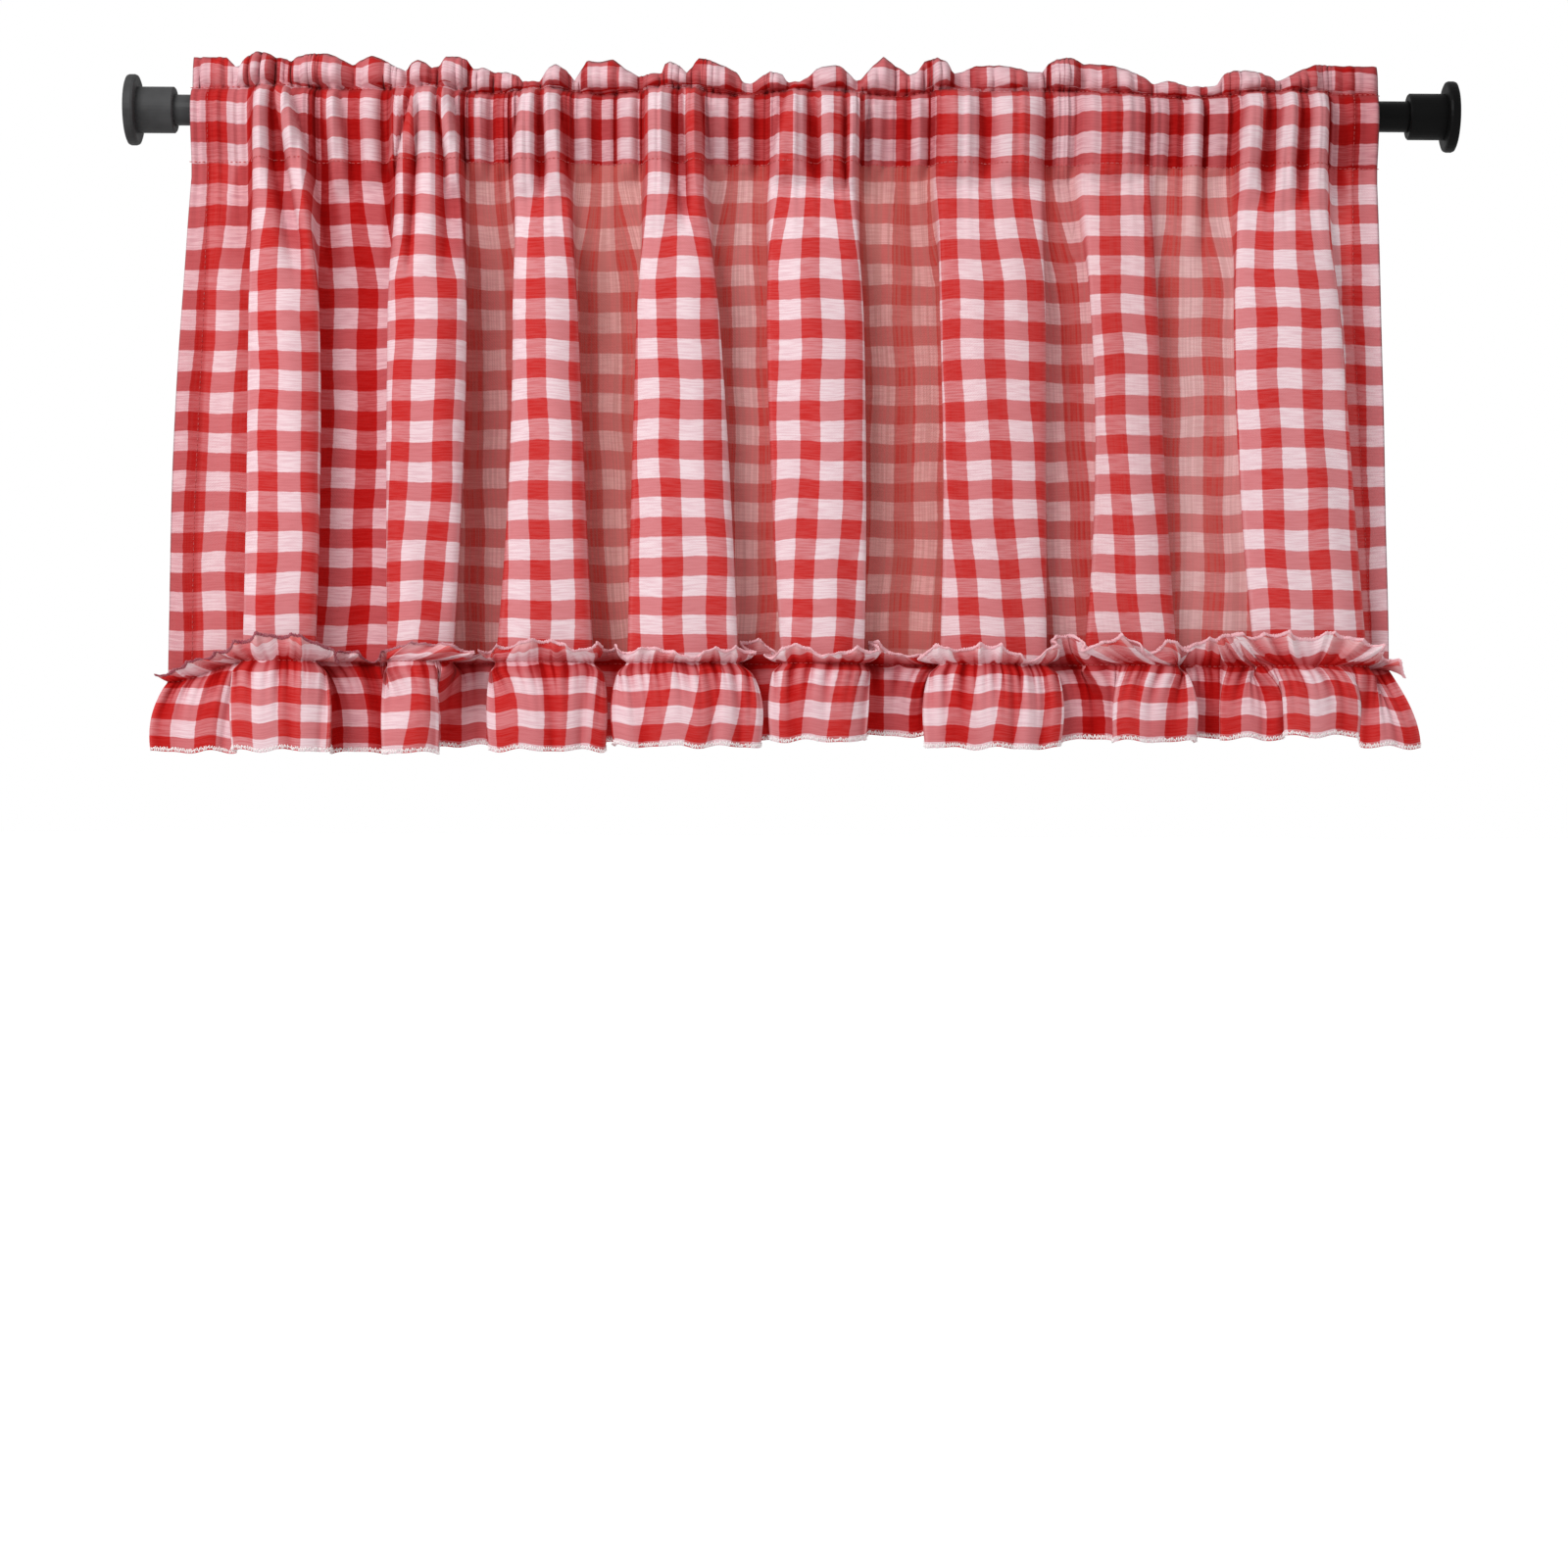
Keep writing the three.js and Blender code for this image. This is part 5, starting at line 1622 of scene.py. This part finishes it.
class ThreadFinish(bpy.types.PropertyGroup):
    """Sewing threads."""

    stitch: FloatProperty(name="Stitch", description="Length of a stitch", unit="LENGTH", default=0.0024)
    spacing: FloatProperty(
        name="Spacing", description="Distance between stitches",
        unit="LENGTH", default=0.0034,
    )
    thickness: FloatProperty(
        name="Thickness", description="Thickness of the thread",
        unit="LENGTH", default=0.0006,
    )
    fine: FloatProperty(
        name="Fine", description="Thickness of the thread in the side hems and the ruffle's seam",
        unit="LENGTH", default=0.00035,
    )
    overlock: FloatProperty(
        name="Overlock", description="Width of the overlocked hem",
        unit="LENGTH", default=0.004,
    )
    red: FloatVectorProperty(
        name="Red thread", description="Colour of the seam thread",
        subtype="COLOR", size=4, default=(0.55, 0.03, 0.03, 1),
    )
    white: FloatVectorProperty(
        name="White thread", description="Colour of the hem's overlock thread",
        subtype="COLOR", size=4, default=(0.9, 0.84, 0.84, 1),
    )
    pink: FloatVectorProperty(
        name="Pink thread", description="Colour of the frill's edge",
        subtype="COLOR", size=4, default=(0.9, 0.5, 0.55, 1),
    )
    maroon: FloatVectorProperty(
        name="Dark thread", description="Colour of the frill's left edge",
        subtype="COLOR", size=4, default=(0.3, 0.02, 0.05, 1),
    )


class StageSetting(bpy.types.PropertyGroup):
    """Floor, light and camera."""

    distance: FloatProperty(
        name="Distance", description="From the rod to the camera",
        unit="LENGTH", default=2.2,
    )
    width: FloatProperty(
        name="Width", description="Width that the picture shows",
        unit="LENGTH", default=1.024,
    )
    near: FloatProperty(
        name="Near", description="How far before the rod that width lies",
        unit="LENGTH", default=0.009,
    )
    aim_x: FloatProperty(
        name="Across", description="Where the camera looks along the rod",
        unit="LENGTH", default=0.4325,
    )
    aim_z: FloatProperty(
        name="Height", description="Height of the camera",
        unit="LENGTH", default=-0.4397,
    )
    roll: FloatProperty(
        name="Roll", description="Tilt of the camera",
        subtype="ANGLE", default=math.radians(0.32),
    )
    floor: FloatProperty(name="Floor", description="Height of the floor", unit="LENGTH", default=-1.1)
    light: FloatProperty(name="Light", description="Strength of the softbox", default=36.0)
    room: FloatProperty(name="Room light", description="Strength of the light all round", default=0.57)
    glow: FloatProperty(name="Floor glow", description="Brightness of the floor", default=0.55)


class CURTAIN_OT_rod(bpy.types.Operator):
    """Gives the tube and its end caps their black finishes"""

    bl_idname = "curtain.rod"
    bl_label = "Rod"

    def execute(self, context):
        look = context.scene.curtain_rod
        finishes = {
            # The tube turns along x from the left cap's painted lighter tone to its own black; the left
            # cap is the right cap's moulding, painted lighter.
            "rod_tube": satin_black("satin black tube", look.left_cap_painted_lighter, look.gloss, look.tube),
            "end_cap_left": satin_black("moulded dark grey", look.left_cap_painted_lighter, LEFT_CAP_ROUGHNESS),
            "end_cap_right": satin_black("moulded black", look.right_cap, RIGHT_CAP_ROUGHNESS),
        }
        for name, material in finishes.items():
            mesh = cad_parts[name].data
            mesh.materials.clear()
            mesh.materials.append(material)
        return {"FINISHED"}


class CURTAIN_OT_panel(bpy.types.Operator):
    """Hangs the gathered panel on the rod, with its pocket, heading and side hems"""

    bl_idname = "curtain.panel"
    bl_label = "Panel"

    def execute(self, context):
        material = gingham_material("gingham", context.scene.curtain_cloth)
        panel = sheet_object("panel_cloth", panel_grid(), material)
        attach(panel, "root")
        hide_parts("curtain_panel")
        return {"FINISHED"}


class CURTAIN_OT_ruffle(bpy.types.Operator):
    """Sews the gathered ruffle with its frill on the foot of the panel"""

    bl_idname = "curtain.ruffle"
    bl_label = "Ruffle"

    def execute(self, context):
        material = gingham_material("gingham ruffle", context.scene.curtain_cloth)
        ruffle = sheet_object("ruffle_cloth", ruffle_grid(), material)
        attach(ruffle, "root")
        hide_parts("ruffle")
        return {"FINISHED"}


class CURTAIN_OT_threads(bpy.types.Operator):
    """Sews the seams and overlocks the ruffle's edges"""

    bl_idname = "curtain.threads"
    bl_label = "Threads"

    def execute(self, context):
        look = context.scene.curtain_threads
        red = thread_material("red thread", look.red)
        white = thread_material("white thread", look.white)
        edge = thread_material("frill edge thread", look.maroon, look.pink, FRILL_CHANGE)
        along = {"Spacing": look.spacing, "Length": look.stitch}
        across = {"Spacing": OVERLOCK_SPACING, "Across": 1.0}
        panel = panel_grid()
        marks = panel.marks
        off = panel.points + SEAM_LIFT * grid_normals(panel.points)
        front = slice(marks["left"], marks["right"] + 1)
        paths = [off[marks[key], front] for key in ("pocket", "heading")]
        seams = sewn("panel_stitches", paths, red, **along, Thickness=look.thickness)
        paths = [off[: marks["heading"], marks[key]] for key in ("left hem", "right hem")]
        hems = sewn("side_stitches", paths, red, **along, Thickness=look.fine)
        points = ruffle_grid().points
        lifted = points + RUFFLE_LIFT * grid_normals(points)
        paths = [lifted[ruffle_grid().marks["seam"]]]
        gather = sewn("ruffle_stitches", paths, red, **along, Thickness=look.fine)
        inside = inward_from(points[-1], points[-3])
        band = points[-1] + HEM_INSET * look.overlock / MM * inside
        size = {"Length": look.overlock, "Thickness": HEM_THREAD, "Untidy": HEM_UNTIDY}
        lock = sewn("hem_overlock", [band], white, [inside], **across, **size)
        below = inward_from(points[0], points[1])
        size = {"Length": FRILL_EDGE, "Thickness": FRILL_THREAD, "Untidy": FRILL_UNTIDY}
        trim = sewn("frill_overlock", [points[0] + FRILL_INSET * below], edge, [below], **across, **size)
        return {"FINISHED"}


class CURTAIN_OT_stage(bpy.types.Operator):
    """Sets the pale floor, the soft light and the camera"""

    bl_idname = "curtain.stage"
    bl_label = "Stage"

    def execute(self, context):
        scene = context.scene
        look = scene.curtain_stage
        mesh = bpy.data.meshes.new("floor")
        around = ((-1, -1), (1, -1), (1, 1), (-1, 1))
        corners = [(FLOOR_HALF * x, FLOOR_HALF * y, look.floor) for x, y in around]
        mesh.from_pydata(corners, [], [(0, 1, 2, 3)])
        material, tree, shader, _ = new_material("pale floor")
        seen = node(tree, "ShaderNodeLightPath").outputs["Is Camera Ray"]
        finish = {
            "Base Color": (0.92, 0.92, 0.92, 1),
            "Roughness": 0.9,
            "Emission Color": WHITE,
            "Emission Strength": sums(tree, "MULTIPLY", seen, look.glow),
        }
        feed(tree, shader, finish)
        mesh.materials.append(material)
        placed("floor", mesh)
        world = bpy.data.worlds.new("soft room")
        world.use_nodes = True
        tree = world.node_tree
        seen = node(tree, "ShaderNodeLightPath").outputs["Is Camera Ray"]
        light = ranged(tree, seen, 0.0, 1.0, look.room, 1.0, False)
        feed(tree, tree.nodes["Background"], {0: WHITE, 1: light})
        scene.world = world
        lamp = bpy.data.lights.new("softbox", "AREA")
        lamp.energy = look.light
        lamp.shape = "RECTANGLE"
        lamp.size, lamp.size_y = SOFTBOX_SIZE
        box = placed("softbox", lamp)
        box.location = SOFTBOX_PLACE
        aim = Vector(SOFTBOX_AIM) - box.location
        box.rotation_euler = aim.to_track_quat("-Z", "Y").to_euler()
        data = bpy.data.cameras.new("camera")
        data.sensor_width = SENSOR
        data.lens = SENSOR * (look.distance - look.near) / look.width
        data.clip_end = CLIP_END
        camera = placed("camera", data)
        camera.location = (look.aim_x, -look.distance, look.aim_z)
        camera.rotation_euler = (math.pi / 2, -look.roll, 0.0)
        scene.camera = camera
        scene.view_settings.view_transform = "Standard"
        return {"FINISHED"}


class CURTAIN_PT_sidebar(bpy.types.Panel):
    """Lists the curtain's pieces and their settings"""

    bl_idname = "CURTAIN_PT_sidebar"
    bl_label = "Cafe curtain"
    bl_space_type = "VIEW_3D"
    bl_region_type = "UI"
    bl_category = "Curtain"

    def draw(self, context):
        for title, group, piece in (
            ("Rod", context.scene.curtain_rod, CURTAIN_OT_rod),
            ("Cloth", context.scene.curtain_cloth, CURTAIN_OT_panel),
            ("Ruffle", None, CURTAIN_OT_ruffle),
            ("Threads", context.scene.curtain_threads, CURTAIN_OT_threads),
            ("Stage", context.scene.curtain_stage, CURTAIN_OT_stage),
        ):
            box = self.layout.box()
            box.label(text=title)
            for key in group.__annotations__ if group else ():
                box.prop(group, key)
            box.operator(piece.bl_idname)


SETTINGS = {
    "curtain_rod": RodFinish,
    "curtain_cloth": ClothFinish,
    "curtain_threads": ThreadFinish,
    "curtain_stage": StageSetting,
}
CLASSES = (
    *SETTINGS.values(),
    CURTAIN_OT_rod,
    CURTAIN_OT_panel,
    CURTAIN_OT_ruffle,
    CURTAIN_OT_threads,
    CURTAIN_OT_stage,
    CURTAIN_PT_sidebar,
)


def register():
    """Makes the settings, the operators and the panel known."""
    for item in CLASSES:
        bpy.utils.register_class(item)
    for name, group in SETTINGS.items():
        setattr(bpy.types.Scene, name, PointerProperty(type=group))


def unregister():
    """Takes them away again."""
    for name in SETTINGS:
        delattr(bpy.types.Scene, name)
    for item in reversed(CLASSES):
        bpy.utils.unregister_class(item)


def main():
    """Builds the curtain."""
    register()
    bpy.ops.curtain.rod()
    bpy.ops.curtain.panel()
    bpy.ops.curtain.ruffle()
    bpy.ops.curtain.threads()
    bpy.ops.curtain.stage()


if __name__ == "__main__":
    main()
